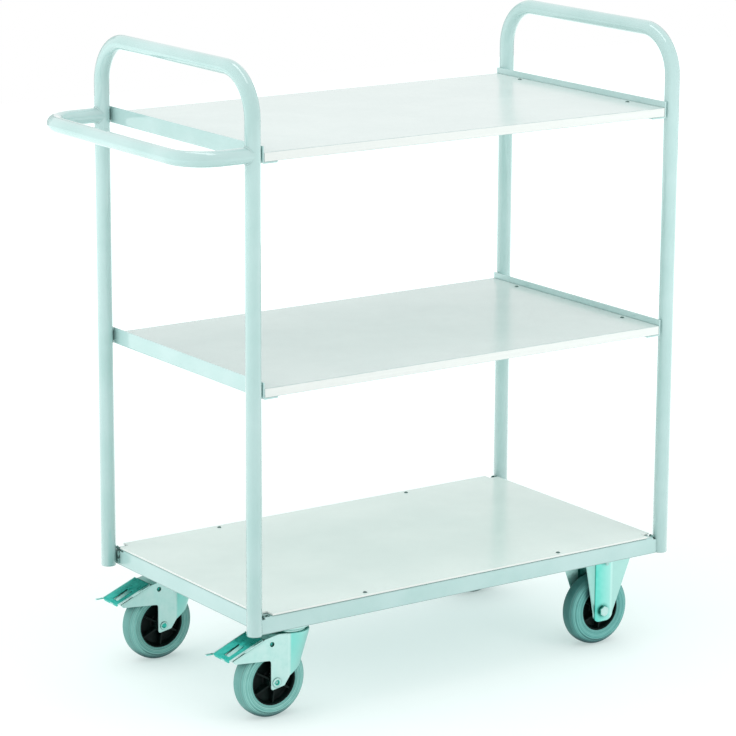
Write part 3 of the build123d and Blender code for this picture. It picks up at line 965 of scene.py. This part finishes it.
# Painted highlight: a bright line along the fold.
off_fold = add(tree, "Math", {0: in_fork.outputs["X"], 1: (fold_x - 0.5) * MM}, operation="SUBTRACT")
off_fold = add(tree, "Math", {0: off_fold}, operation="ABSOLUTE")
folded = tint(tree, nose_painted_reflection, "#d9f3ef", off_fold, 2.4 * MM, 0.6 * MM, 0.3)
feed(tree, shader, {"Base Color": folded})

shell_points, shell_faces = fork_shell()
for place, y in swivels.items():
    home = Vector((axle_x, y, 0))
    fork = piece(f"{place}_fork_shell", ([p + home for p in shell_points], shell_faces), [fork_zinc],
                 f"{place}_swivel", [f"{place}_fork"], centre=(axle_x, y, axle_z))
    sheet_metal(fork, fork_sheet)

# Fixed forks
# Two pressed cheeks welded under a flat plate: a flat web for the axle between two folded flanges, which
# flare out towards the plate and end in a round foot. They are plated with the rest.

web_half = 19.5
web_y = 24.05
flare_top = (52.0, 15.0)
flare_foot = (22.0, 1.4)
flare_z = 62.5
cheek_foot_z = 47.5
cheek_foot_round = 14.0
fold_round = 2.5
plate_overlap = 0.4

# The same zinc with the light on the pressed cheeks painted in: a dark line in one fold and in the nooks
# as painted shade, a deep aqua web that fades across it and drifts over 12 mm as a painted reflection, a
# bright line on the other fold as a painted highlight, and pale flanges as a painted reflection.
aqua_zinc, tree, shader, where = new_material("zinc_with_painted_light")
drift, deep = mottle(tree, where, 12, 4.0, "#54d4c4", "#72e1d3", 0.3, 0.7)
in_cheek = add(tree, "SeparateXYZ", {"Vector": where})
pressed = tint(tree, deep, "#b2e8e1", in_cheek.outputs["X"], -web_half * MM, web_half * MM)
# Painted reflection: aqua on the web and pale on the flanges, by which way the sheet faces.
facing = add(tree, "NewGeometry")
tilt = add(tree, "SeparateXYZ", {"Vector": facing.outputs["True Normal"]})
square_on = add(tree, "Math", {0: tilt.outputs["Y"]}, operation="ABSOLUTE")
in_web = add(tree, "MapRange", {"Value": square_on, "From Min": 0.92, "From Max": 0.97})
sheet = add(tree, "Mix", {"Factor": in_web, 6: linear("#b8e2dc"), 7: pressed}, data_type="RGBA")
# Painted shade: dark teal in the nooks and along one fold.
nook_occlusion = add(tree, "AmbientOcclusion", {"Distance": 8 * MM}, samples=8)
fold_and_nook_shade = add(tree, "MapRange", {"Value": nook_occlusion.outputs["AO"], "From Min": 0.97, "From Max": 0.55})
from_fold = add(tree, "Math", {0: in_cheek.outputs["X"], 1: web_half * MM}, operation="ADD")
from_fold = add(tree, "Math", {0: from_fold}, operation="ABSOLUTE")
in_fold = add(tree, "MapRange", {
    "Value": from_fold, "From Min": 2.2 * MM, "From Max": 1.0 * MM, "To Max": 0.8,
})
fold_and_nook_shade = add(tree, "Math", {0: fold_and_nook_shade, 1: in_fold}, operation="MAXIMUM")
# Painted highlight: a bright line along the other fold.
off_fold = add(tree, "Math", {0: in_cheek.outputs["X"], 1: (web_half - 1) * MM}, operation="SUBTRACT")
off_fold = add(tree, "Math", {0: off_fold}, operation="ABSOLUTE")
lit = tint(tree, sheet, "#d6f6f1", off_fold, 3.5 * MM, 1.0 * MM, 0.6)
zinc_with_painted_shade = add(tree, "Mix", {"Factor": fold_and_nook_shade, 6: lit, 7: linear("#1d7f73")}, data_type="RGBA")
dull = add(tree, "MapRange", {
    "Value": drift, "From Min": 0.3, "From Max": 0.7, "To Min": 0.3, "To Max": 0.42,
})
feed(tree, shader, {"Base Color": zinc_with_painted_shade, "Roughness": dull, "Metallic": 1.0})


def cheek_section(z):
    """The bent line of a cheek at a height, as (along, out) pairs from one flange's edge to the other's."""
    share = max(0, (z - flare_z) / (plate_bottom - flare_z))
    edge, out = (low + (high - low) * share for low, high in zip(flare_foot, flare_top))
    below = cheek_foot_z + cheek_foot_round - z
    if below > 0:
        edge -= cheek_foot_round - math.sqrt(max(cheek_foot_round ** 2 - below ** 2, 0))
    web = web_half * min(1, edge / flare_foot[0])
    out *= min(1, (z - cheek_foot_z) / (flare_z - cheek_foot_z))
    flange = Vector((edge - web, out))
    bend = min(fold_round, flange.length * 0.6, web * 0.6)
    fold = Vector((web, 0))
    start, end = fold + flange.normalized() * bend, fold - Vector((bend, 0))
    half = [(fold + flange).lerp(start, k / 3) for k in range(3)]
    for k in range(7):
        t = k / 6
        half.append(start * (1 - t) ** 2 + fold * 2 * t * (1 - t) + end * t ** 2)
    half += [Vector((end.x * (1 - k / 4), 0)) for k in range(1, 5)]
    return half + [Vector((-p.x, p.y)) for p in reversed(half[:-1])]


heights = [cheek_foot_z + cheek_foot_round * (1 - math.cos(math.pi / 2 * k / 8)) + 0.02 for k in range(9)]
heights += [flare_z + (plate_bottom + plate_overlap - flare_z) * k / 22 for k in range(23)]
cheek_rows = [(z, cheek_section(z)) for z in heights]
fixed = {"front_right": -caster_y, "back_right": caster_y}
for place, y in fixed.items():
    sheets = []
    for side in (-1, 1):
        rows = [[Vector((fixed_x + p.x, y + side * (web_y + p.y), z)) for p in row] for z, row in cheek_rows]
        sheets.append(open_sheet(rows))
    cheeks = piece(f"{place}_fork_cheeks", merged(*sheets), [aqua_zinc], "frame",
                   [f"{place}_fork"], centre=(fixed_x, y, axle_z))
    sheet_metal(cheeks, fork_sheet, 0)
    plate = piece(f"{place}_fork_plate", caster_plate(fixed_x, y), [zinc], "frame")
    round_edges(plate, plate_edge)

# Tyres
# Grey solid rubber, moulded round the wheel centres: a rounded tread, a groove inside each shoulder and
# raised rings on the walls.

wheel_radius = 67.5
tyre_half = 18.5
rim_half = 16.5
swivel_rim = 43.5
fixed_rim = 39.5
wheels = {place: (axle_x, y, swivel_rim, f"{place}_wheel") for place, y in swivels.items()}
wheels.update({place: (fixed_x, y, fixed_rim, f"{place}_wheel") for place, y in fixed.items()})

# Grey moulded rubber with a green cast: matt, with fine rings from the turned mould about 2 mm apart, a
# bloom of wax that clouds it and a tread that is darker from wear. Its grooves, and the tyre where the fork
# closes over it, are painted dark as painted shade. The fixed wheels take a darker copy, as painted shade.
# A lighter and a darker copy of the rubber: the darker one is painted shade, for the fixed wheels.
rubber_lit_and_shaded = {
    "pale_grey_moulded_rubber": ("#5ca49c", "#76b8b1", "#a2d9d1", "#649691"),
    "grey_moulded_rubber_painted_shade": ("#438f8b", "#5ba6a1", "#86c8c1", "#3b716f"),
}
rubbers = []
for rubber_name, (low_wall, high_wall, ring_colour, tread_colour) in rubber_lit_and_shaded.items():
    rubber, tree, shader, where = new_material(rubber_name)
    _, wall = mottle(tree, where, 25, 4.0, low_wall, high_wall, 0.3, 0.7)
    flat = add(tree, "VectorMath", {0: where, 1: (1.0, 0.0, 1.0)}, operation="MULTIPLY")
    radius = add(tree, "VectorMath", {0: flat}, operation="LENGTH")
    rings = add(tree, "TexNoise", {
        "W": radius, "Scale": 1 / (2 * MM), "Detail": 1.0,
    }, noise_dimensions="1D")
    lined = tint(tree, wall, ring_colour, rings, 0.4, 0.6, 0.7)
    tread = tint(tree, lined, tread_colour, radius, 60 * MM, 66 * MM, 0.6)
    # Painted shade: dark where the fork and frame close over the tyre.
    fork_shade_occlusion = add(tree, "AmbientOcclusion", {"Distance": 45 * MM}, samples=8)
    tyre_with_fork_shade = tint(tree, tread, "#123e46", fork_shade_occlusion.outputs["AO"], 0.62, 0.3, 0.85)
    # Painted shade: dark in the grooves.
    nook_occlusion = add(tree, "AmbientOcclusion", {"Distance": 3 * MM}, samples=8)
    tyre_with_groove_shade = tint(tree, tyre_with_fork_shade, "#2a5653", nook_occlusion.outputs["AO"], 0.9, 0.5, 0.9)
    mould = add(tree, "Bump", {"Strength": 0.25, "Distance": 0.2 * MM, "Height": rings})
    feed(tree, shader, {"Base Color": tyre_with_groove_shade, "Roughness": 0.55, "Normal": mould, "IOR": 1.52})
    rubbers.append(rubber)


def tyre_profile(rim):
    """Half the section of a tyre, as (across, radius) pairs from the rim to the middle of the tread."""
    return [
        (rim_half, rim + 0.05), (rim_half + 0.8, rim + 0.8), (tyre_half - 0.9, rim + 2.6),
        (tyre_half - 1.5, rim + 3.6), (tyre_half - 0.7, rim + 4.6), (tyre_half, 53.5), (tyre_half, 56.0),
        (tyre_half - 1.0, 57.4), (tyre_half - 1.9, 57.6), (tyre_half - 2.2, 58.6), (tyre_half - 3.4, 61.2),
        (13.2, 63.6), (11.6, 64.8), (10.9, 64.5), (10.3, 65.6), (8.0, 66.7), (4.0, wheel_radius - 0.15),
        (0.0, wheel_radius),
    ]


for place, (x, y, rim, body) in wheels.items():
    half = tyre_profile(rim)
    profile = half + [(-a, r) for a, r in reversed(half[:-1])]
    form = skin(lathe(profile, (x, y, axle_z), crosswise, 128), closed=True)
    # The fixed wheels take the darker copy, as painted shade.
    rubber = rubbers[0] if place in swivels else rubbers[1]
    piece(f"{place}_rubber_tyre", form, [rubber], body, [f"{place}_tyre"], sharp=60,
          centre=(x, y, axle_z))

# Wheel centres
# Moulded in black polypropylene: a rim under the tyre, a thin web in its middle, ribs on both sides and a
# hub that runs plain on the axle.

hub_half = 22.5
hub_radius = 13.0
bore_radius = 5.1
disc_half = 3.5
rib_count = 6
rib_width = 3.2

# Moulded black polypropylene: dark green in this light, satin, with a fine eroded grain of about 1 mm.
black_plastic, tree, shader, where = new_material("black_moulded_polypropylene")
_, black = mottle(tree, where, 20, 3.0, "#020c0b", "#061c19", 0.3, 0.7)
grain = add(tree, "TexNoise", {"Vector": where, "Scale": 1 / MM, "Detail": 2.0})
satin = add(tree, "MapRange", {
    "Value": grain, "From Min": 0.3, "From Max": 0.7, "To Min": 0.45, "To Max": 0.6,
})
eroded = add(tree, "Bump", {"Strength": 0.1, "Distance": 0.1 * MM, "Height": grain})
feed(tree, shader, {
    "Base Color": black, "Roughness": satin, "Normal": eroded, "IOR": 1.49,
    "Specular IOR Level": 0.2,
})


def wheel_rib(home, turn, side, rim):
    """One rib on a side of the web, from the hub to the rim, lower towards the rim."""
    out = Vector((math.cos(turn), 0, math.sin(turn)))
    wide = Vector((-math.sin(turn), 0, math.cos(turn))) * rib_width / 2
    stations = ((hub_radius - 1.5, 19.0), (hub_radius + 4, 17.5), (rim - 2.5, 13.0))
    rings = []
    for reach, height in stations:
        outline = ((-1.2, disc_half - 1), (1.2, disc_half - 1), (0.85, height), (-0.85, height))
        rings.append([home + out * reach + wide * w + crosswise * side * h for w, h in outline])
    return skin(rings)


for place, (x, y, rim, body) in wheels.items():
    half = [
        (rim_half, rim), (rim_half, rim - 1.6), (rim_half - 0.9, rim - 2.4), (disc_half + 1.5, rim - 3.8),
        (disc_half, rim - 5.5), (disc_half, hub_radius + 3), (disc_half + 1.5, hub_radius + 1.2),
        (hub_half - 0.6, hub_radius - 0.4), (hub_half, hub_radius - 1.0), (hub_half, bore_radius + 0.8),
        (hub_half - 0.8, bore_radius),
    ]
    profile = half + [(-a, r) for a, r in reversed(half)]
    home = Vector((x, y, axle_z))
    forms = [skin(lathe(profile, home, crosswise, 96), closed=True)]
    for k in range(rib_count):
        turn = 2 * math.pi * (k + 0.5) / rib_count
        forms += [wheel_rib(home, turn, side, rim) for side in (-1, 1)]
    piece(f"{place}_ribbed_centre", merged(*forms), [black_plastic], body,
          [f"{place}_wheel_centre"], sharp=35, centre=(x, y, axle_z))

# Axle rivets
# The swivel wheels turn on a tubular rivet: a broad head outside, and an end spread over the cheek inside.
# Both are staked in three places.

axle_radius = 5.0
rivet_head_radius = 8.5
rivet_head = 2.0
spread_radius = 7.2
spread_end = 1.6
rivet_steps = 60
stake_count = 3
stake_depth = 0.9
stake_narrow = 7

# The same zinc on a spread end, which is stained teal where the plating bath stood in its dished middle.
rivet_zinc, tree, shader, where, plated = stained_zinc("staked_zinc_plate")
flat = add(tree, "VectorMath", {0: where, 1: (1.0, 0.0, 1.0)}, operation="MULTIPLY")
radius = add(tree, "VectorMath", {0: flat}, operation="LENGTH")
stained = tint(tree, plated, "#23bfae", radius, 5.8 * MM, 4.2 * MM, 0.9)
feed(tree, shader, {"Base Color": stained})

# The profile runs outwards from the spread end, through the cheeks to the head and into its dish.
spread = -fork_half - spread_end
rivet_profile = (
    (spread + 1.2, 2.6), (spread + 0.3, 3.4), (spread, 4.4), (spread, 6.0), (spread + 0.6, spread_radius),
    (-fork_half + 0.1, spread_radius), (-fork_half + 0.1, axle_radius), (fork_half - 0.1, axle_radius),
    (fork_half - 0.1, rivet_head_radius - 0.3), (fork_half + 0.4, rivet_head_radius),
    (fork_half + 1.2, rivet_head_radius - 0.3), (fork_half + 1.8, rivet_head_radius - 1.2),
    (fork_half + rivet_head, 6.6), (fork_half + rivet_head, 5.6), (fork_half + 1.9, 4.6),
    (fork_half + 1.7, 3.8), (fork_half + 0.9, 3.2), (fork_half - 2.0, 3.0),
)
staked_rings = ((2, 1), (3, 1), (13, -1), (14, -1))
for place, y in swivels.items():
    out = -1 if y < 0 else 1
    rings = lathe([(out * a, r) for a, r in rivet_profile], (axle_x, y, axle_z), crosswise, rivet_steps)
    for level, way in staked_rings:
        for i, p in enumerate(rings[level]):
            turn = (i / rivet_steps * stake_count) % 1
            p.y += out * way * stake_depth * max(0, 1 - abs(turn - 0.5) * stake_narrow)
    piece(f"{place}_hollow_rivet", skin(rings), [rivet_zinc], f"{place}_swivel",
          [f"{place}_axle_rivet"], sharp=40, centre=(axle_x, y, axle_z))

# Axle bolts and nuts
# Each fixed wheel turns on the plain shank of a hexagon bolt of zinc-plated steel.
# The bolt is put through both cheeks from the outer side and held by a nut inside.

axle_flats = 17.0
axle_head = 6.4
nut_height = 8.0
nut_play = 0.1
thread_end = 2.0
fixed_face = 25.3

end = fixed_face + nut_height + thread_end
shank_profile = (
    (fixed_face + 1, axle_radius), (thread_chamfer - end, axle_radius), (-end, axle_radius - thread_chamfer),
)
for place, y in fixed.items():
    out = -crosswise if y < 0 else crosswise
    home = Vector((fixed_x, y, axle_z))
    head = hex_head(home + out * fixed_face, out, axle_flats, axle_head)
    shank = skin(lathe([(out.y * a, r) for a, r in shank_profile], home, crosswise, 32))
    piece(f"{place}_hex_axle", merged(head, shank), [zinc], "frame",
          [f"{place}_axle_bolt"], sharp=30)
    nut = hex_head(home - out * fixed_face, -out, axle_flats, nut_height, axle_radius + nut_play)
    piece(f"{place}_hex_nut", nut, [zinc], "frame", [f"{place}_axle_nut"], sharp=30)

# Brake pedals
# A pressed tread plate with rolled edges, a U-shaped slot round its spring tongue and a lip to lift it by.
# Two ears welded under it turn on trunnions in the fork's cheeks, and show as dark ends in them.

pedal_slope = math.radians(22)
along = Vector((math.cos(pedal_slope), 0, math.sin(pedal_slope)))
square = Vector((-math.sin(pedal_slope), 0, math.cos(pedal_slope)))
tip = Vector((-96.5, 0, 122.0))
pedal_length = 73.0
pedal_half = 29.0
pedal_sheet = 2.0
roll_radius = 1.2
roll_quarter = roll_radius * math.pi / 2
tip_drop = 4.0
tip_half = 22.0
shoulder_half = 25.0
tongue_near = -10.0
tongue_far = 1.0
tongue_tip = 12.0
tongue_root = 52.0
tongue_drop = 3.0
slot_width = 3.5
slot_end = 44.0
lip_length = 16.0
lip_width = 4.5
ear_y = 22.0
ear_back = 46.0
ear_front = 67.0
trunnion_radius = 3.0
trunnion_end = fork_half - 1.6

# Zinc plate with a thick green passivation: the same metal, but of a deep teal that drifts over the plate,
# with marks of the roller about 4 mm apart. Its sides, and the sunk tongue towards its tip, are painted
# bright as painted highlights.
teal_zinc, tree, shader, where = new_material("teal_passivated_zinc")
drift, teal = mottle(tree, where, 12, 4.0, "#1ab2a4", "#42cec0", 0.3, 0.7)
roller = add(tree, "TexNoise", {"Vector": where, "Scale": 1 / (4 * MM), "Detail": 1.0})
dull = add(tree, "MapRange", {
    "Value": drift, "From Min": 0.3, "From Max": 0.7, "To Min": 0.24, "To Max": 0.36,
})
rolling = add(tree, "Bump", {"Strength": 0.08, "Distance": 0.1 * MM, "Height": roller})
in_pedal = add(tree, "SeparateXYZ", {"Vector": where})
off_middle = add(tree, "Math", {0: in_pedal.outputs["Y"]}, operation="ABSOLUTE")
sides = add(tree, "MapRange", {"Value": off_middle, "From Min": 24 * MM, "From Max": 25.5 * MM})
tread_level = (tip - Vector((pivot.x, 0, pivot.y))).dot(square) + pedal_sheet
proud = add(tree, "VectorMath", {0: where, 1: square}, operation="DOT_PRODUCT")
sunk = add(tree, "MapRange", {
    "Value": proud, "From Min": (tread_level - 0.6) * MM, "From Max": (tread_level - 2.0) * MM,
    "To Max": 0.8,
})
far_side = add(tree, "MapRange", {
    "Value": in_pedal.outputs["Y"], "From Min": (tongue_far + 0.3) * MM, "From Max": (tongue_far - 0.3) * MM,
})
near_side = add(tree, "MapRange", {
    "Value": in_pedal.outputs["Y"],
    "From Min": (tongue_near - 0.3) * MM, "From Max": (tongue_near + 0.3) * MM,
})
on_tongue = add(tree, "Math", {0: far_side, 1: near_side}, operation="MULTIPLY")
tongue = add(tree, "Math", {0: sunk, 1: on_tongue}, operation="MULTIPLY")
# Painted highlights: bright along the sides and over the sunk tongue.
painted_highlight_mask = add(tree, "Math", {0: sides, 1: tongue}, operation="MAXIMUM")
teal_with_highlights = add(tree, "Mix", {"Factor": painted_highlight_mask, 6: teal, 7: linear("#cfeeea")}, data_type="RGBA")
feed(tree, shader, {"Base Color": teal_with_highlights, "Roughness": dull, "Normal": rolling, "Metallic": 1.0})


def rolled_edge(beyond):
    """How far a strip past the start of a rolled edge runs on, and how far it drops."""
    if beyond <= 0:
        return beyond, 0.0
    if beyond < roll_quarter:
        turn = beyond / roll_radius
        return roll_radius * math.sin(turn), roll_radius * (1 - math.cos(turn))
    return roll_radius, roll_radius + beyond - roll_quarter


def tread_place(a, b):
    """A point of the pedal's blank, rolled down at its tip and sides: a along the pedal, b across it."""
    tip_run, tip_fall = rolled_edge(roll_radius - a)
    side_run, side_fall = rolled_edge(abs(b) - (pedal_half - roll_radius))
    bent = tongue_near - 0.01 <= b <= tongue_far + 0.01 and tongue_tip - 0.1 < a < tongue_root
    sink = tongue_drop * (tongue_root - a) / (tongue_root - tongue_tip) if bent else 0
    out = math.copysign(pedal_half - roll_radius + side_run, b)
    level = pedal_sheet - sink - tip_fall - side_fall
    return tip + along * (roll_radius - tip_run) + crosswise * out + square * level


blank_half = pedal_half - roll_radius + roll_quarter
blank_tip = roll_radius - roll_quarter - tip_drop
outline = divided(rounded([
    (blank_tip, -tip_half, 2), (blank_tip, tip_half, 2), (roll_radius, shoulder_half, 0),
    (roll_radius + 2, blank_half, 1), (pedal_length, blank_half, 1), (pedal_length, -blank_half, 1),
    (roll_radius + 2, -blank_half, 1), (roll_radius, -shoulder_half, 0),
], 4), 3)
slot = divided(rounded([
    (tongue_tip - slot_width, tongue_near - slot_width, 2),
    (tongue_tip - slot_width, tongue_far + slot_width, 2),
    (slot_end, tongue_far + slot_width, 2), (slot_end, tongue_far, 2), (tongue_tip, tongue_far, 1.5),
    (tongue_tip, tongue_near, 1.5), (slot_end, tongue_near, 2), (slot_end, tongue_near - slot_width, 2),
], 4), 3)
blank, tread_faces = flat_blank([outline, slot], 3)
tread_points = [tread_place(p.x, p.y) for p in blank]
back, front = tip + along * ear_back, tip + along * ear_front
ear = rounded([
    (back.x, back.z, 0), (pivot.x - 7, pivot.y - 7, 5), (pivot.x + 7, pivot.y - 7, 6),
    (pivot.x + 7, pivot.y + 6.5, 5), (pivot.x - 6.5, pivot.y + 5.5, 3), (pivot.x - 17, pivot.y + 3.8, 3),
    (front.x, front.z, 0),
])
trunnion = (
    (ear_y, trunnion_radius), (trunnion_end - 0.4, trunnion_radius), (trunnion_end, trunnion_radius - 0.3),
    (trunnion_end, trunnion_radius - 0.8), (trunnion_end - 2, trunnion_radius - 1),
)
lip_corner = tip + Vector((1, pedal_half - lip_width, 0))
lip = [lip_corner + Vector((-a, b, 0)) for a, b in rounded_box((0, 0), (lip_length, lip_width), 2)]
for place, y in swivels.items():
    home = Vector((axle_x, y, 0))
    hinge = (axle_x + pivot.x, y, pivot.y)
    pedal = piece(f"{place}_pedal_tread", ([p + home for p in tread_points], tread_faces), [teal_zinc],
                  f"{place}_pedal", [f"{place}_brake_pedal"], centre=hinge)
    sheet_metal(pedal, pedal_sheet)
    sheets, trunnions = [prism([p + home for p in lip], up * pedal_sheet)], []
    for side in (-1, 1):
        inner = side * ear_y - pedal_sheet / 2
        sheets.append(prism([Vector((p.x, inner, p.y)) + home for p in ear], crosswise * pedal_sheet))
        trunnions.append(skin(lathe([(side * a, r) for a, r in trunnion], hinge, crosswise, 28)))
    slots = [0] * sum(len(s[1]) for s in sheets) + [1] * sum(len(t[1]) for t in trunnions)
    piece(f"{place}_pedal_ears", merged(*sheets, *trunnions), [teal_zinc, phosphate], f"{place}_pedal",
          sharp=35, centre=hinge, face_slots=slots)

# Brake shoes
# A block of black polypropylene under each pedal, moulded hollow to fit the tyre.
# It is riveted to the tread plate, and grips the tyre when the pedal is down.

shoe_half = 10.0
shoe_gap = 0.5
shoe_radius = wheel_radius + shoe_gap
shoe_back = 47.0
shoe_front = 63.0
shoe_edge = 0.5
shoe_steps = 10

back, front = tip + along * shoe_back, tip + along * shoe_front
first, last = (math.acos(p.x / shoe_radius) for p in (front, back))
turns = [first + (last - first) * k / shoe_steps for k in range(shoe_steps + 1)]
arc = [(math.cos(t) * shoe_radius, axle_z + math.sin(t) * shoe_radius) for t in turns]
outline = arc + [(back.x, back.z), (front.x, front.z)]
for place, y in swivels.items():
    form = prism([Vector((axle_x + a, y - shoe_half, b)) for a, b in outline], crosswise * 2 * shoe_half)
    shoe = piece(f"{place}_shoe_block", form, [black_plastic], f"{place}_pedal",
                 [f"{place}_brake_shoe"], sharp=35, centre=(axle_x + pivot.x, y, pivot.y))
    round_edges(shoe, shoe_edge)

# Studio
# A plain pale floor that keeps the trolley's shadow, and soft light from large panels and a white room.
# The camera stands where the photograph was taken from.

floor_half = 6.0
floor_lift = 0.66
mesh = bpy.data.meshes.new("studio_floor")
corners = [(x * floor_half, y * floor_half, 0) for x, y in ((-1, -1), (1, -1), (1, 1), (-1, 1))]
mesh.from_pydata(corners, [], [(0, 1, 2, 3)])
floor = bpy.data.objects.new("studio_floor", mesh)
bpy.context.scene.collection.objects.link(floor)

# White paper: matt, with a faint cloud of its fibres. Where the camera or a mirror sees it, it glows nearly
# white and keeps only a soft part of the shadow, with a cool cast. Near the trolley the glow is dimmed
# by ambient occlusion, a painted contact shadow.
floor_paper, tree, shader, where = new_material("white_floor_paper")
_, paper = mottle(tree, where, 400, 2.0, "#e9f2f1", "#eef6f5")
path = add(tree, "LightPath")
seen = add(tree, "Math", {
    0: path.outputs["Is Camera Ray"], 1: path.outputs["Is Glossy Ray"],
}, operation="MAXIMUM")
away = add(tree, "VectorMath", {0: where}, operation="LENGTH")
level = add(tree, "MapRange", {
    "Value": away, "From Min": 0.9, "From Max": 2.6, "To Min": floor_lift, "To Max": 1.0,
}, interpolation_type="SMOOTHSTEP")
lift = add(tree, "Math", {0: seen, 1: level}, operation="MULTIPLY")
# Painted contact shadow: the glow dims where ambient occlusion finds the trolley near.
near = add(tree, "AmbientOcclusion", {"Distance": 100 * MM}, samples=8)
painted_contact_shadow = add(tree, "MapRange", {
    "Value": near.outputs["AO"], "From Min": 0.3, "From Max": 1.0, "To Min": 0.72, "To Max": 1.0,
})
lift = add(tree, "Math", {0: lift, 1: painted_contact_shadow}, operation="MULTIPLY")
shaded = add(tree, "Mix", {"Factor": seen, 6: paper, 7: linear("#b8b0b1")}, data_type="RGBA")
feed(tree, shader, {
    "Base Color": shaded, "Roughness": 0.8, "Specular IOR Level": 0.0,
    "Emission Color": linear("#e7fffc"), "Emission Strength": lift,
})
mesh.materials.append(floor_paper)

room_level = 0.86
world = bpy.data.worlds.new("studio_white")
world.use_nodes = True
tree = world.node_tree
tree.nodes.clear()
path = add(tree, "LightPath")
seen = add(tree, "Math", {
    0: path.outputs["Is Camera Ray"], 1: path.outputs["Is Glossy Ray"],
}, operation="MAXIMUM")
seen = add(tree, "Math", {0: seen, 1: path.outputs["Is Transmission Ray"]}, operation="MAXIMUM")
level = add(tree, "MapRange", {"Value": seen, "To Min": room_level, "To Max": 1.0})
background = add(tree, "Background", {"Color": linear("#ffffff"), "Strength": level})
add(tree, "OutputWorld", {"Surface": background})
bpy.context.scene.world = world


def panel(name, place, aim, size, power, mirrored=True):
    """A large soft light aimed at a point, which may be kept out of the gloss of what it lights."""
    lamp = bpy.data.lights.new(name, "AREA")
    lamp.shape = "RECTANGLE"
    lamp.size, lamp.size_y = size
    lamp.energy = power
    made = bpy.data.objects.new(name, lamp)
    made.location = place
    made.rotation_euler = (Vector(aim) - Vector(place)).to_track_quat("-Z", "Y").to_euler()
    made.visible_camera = False
    made.visible_glossy = mirrored
    bpy.context.scene.collection.objects.link(made)


panel("left_softbox", (-3.36, 0.53, 1.3), (0.0, 0.0, 0.6), (3.0, 2.0), 36, mirrored=False)
panel("right_softbox", (1.0, -1.9, 0.96), (0.3, 0.0, 0.9), (0.8, 1.9), 10, mirrored=False)
panel("top_strip", (-0.1, 0.0, 3.6), (-0.1, 0.0, 0.0), (0.8, 2.6), 14)

# Two grey cards stand behind the trolley, left and right of the picture, and are seen only in its gloss:
# they draw a soft grey line down the sides of the tubes. They are of matt paper, faintly clouded by fibres.
card_distance = 5.0
card_height = 3.0
card_steps = 6
card_middle = 55.3
card_grey, tree, shader, where = new_material("grey_studio_card")
_, card = mottle(tree, where, 400, 2.0, "#bfc8c7", "#c7d0cf")
feed(tree, shader, {"Base Color": card, "Roughness": 0.9})
for name, first, last in (("left_card", 14, 50), ("right_card", -14, -50)):
    feet = []
    for i in range(card_steps + 1):
        turn = math.radians(card_middle + first + (last - first) * i / card_steps)
        feet.append(Vector((math.cos(turn), math.sin(turn), 0)) * card_distance)
    mesh = bpy.data.meshes.new(name)
    points, faces = open_sheet([feet, [p + up * card_height for p in feet]])
    mesh.from_pydata(points, [], faces)
    mesh.materials.append(card_grey)
    made = bpy.data.objects.new(name, mesh)
    made.visible_camera = False
    made.visible_diffuse = False
    made.visible_shadow = False
    bpy.context.scene.collection.objects.link(made)

# The camera's place and aim were fitted to the trolley's edges in the photograph.
yaw, pitch, roll = (math.radians(a) for a in (34.696, -13.694, 0.287))
camera_place = Vector((-3.248 + middle_x * MM, -4.629, 1.9085))
sensor = 36.0
image_width = 736
focal_pixels = 3220.5
forward = Vector((math.sin(yaw) * math.cos(pitch), math.cos(yaw) * math.cos(pitch), math.sin(pitch)))
level_right = Vector((math.cos(yaw), -math.sin(yaw), 0))
level_up = level_right.cross(forward)
right = level_right * math.cos(roll) + level_up * math.sin(roll)
above = right.cross(forward)
lens = bpy.data.cameras.new("photo_camera")
lens.sensor_width = sensor
lens.lens = focal_pixels / image_width * sensor
lens.clip_end = 50
camera = bpy.data.objects.new("photo_camera", lens)
aim = Matrix((right, above, -forward)).transposed().to_4x4()
camera.matrix_world = Matrix.Translation(camera_place) @ aim
bpy.context.scene.collection.objects.link(camera)
bpy.context.scene.camera = camera
bpy.context.scene.view_settings.view_transform = "Standard"
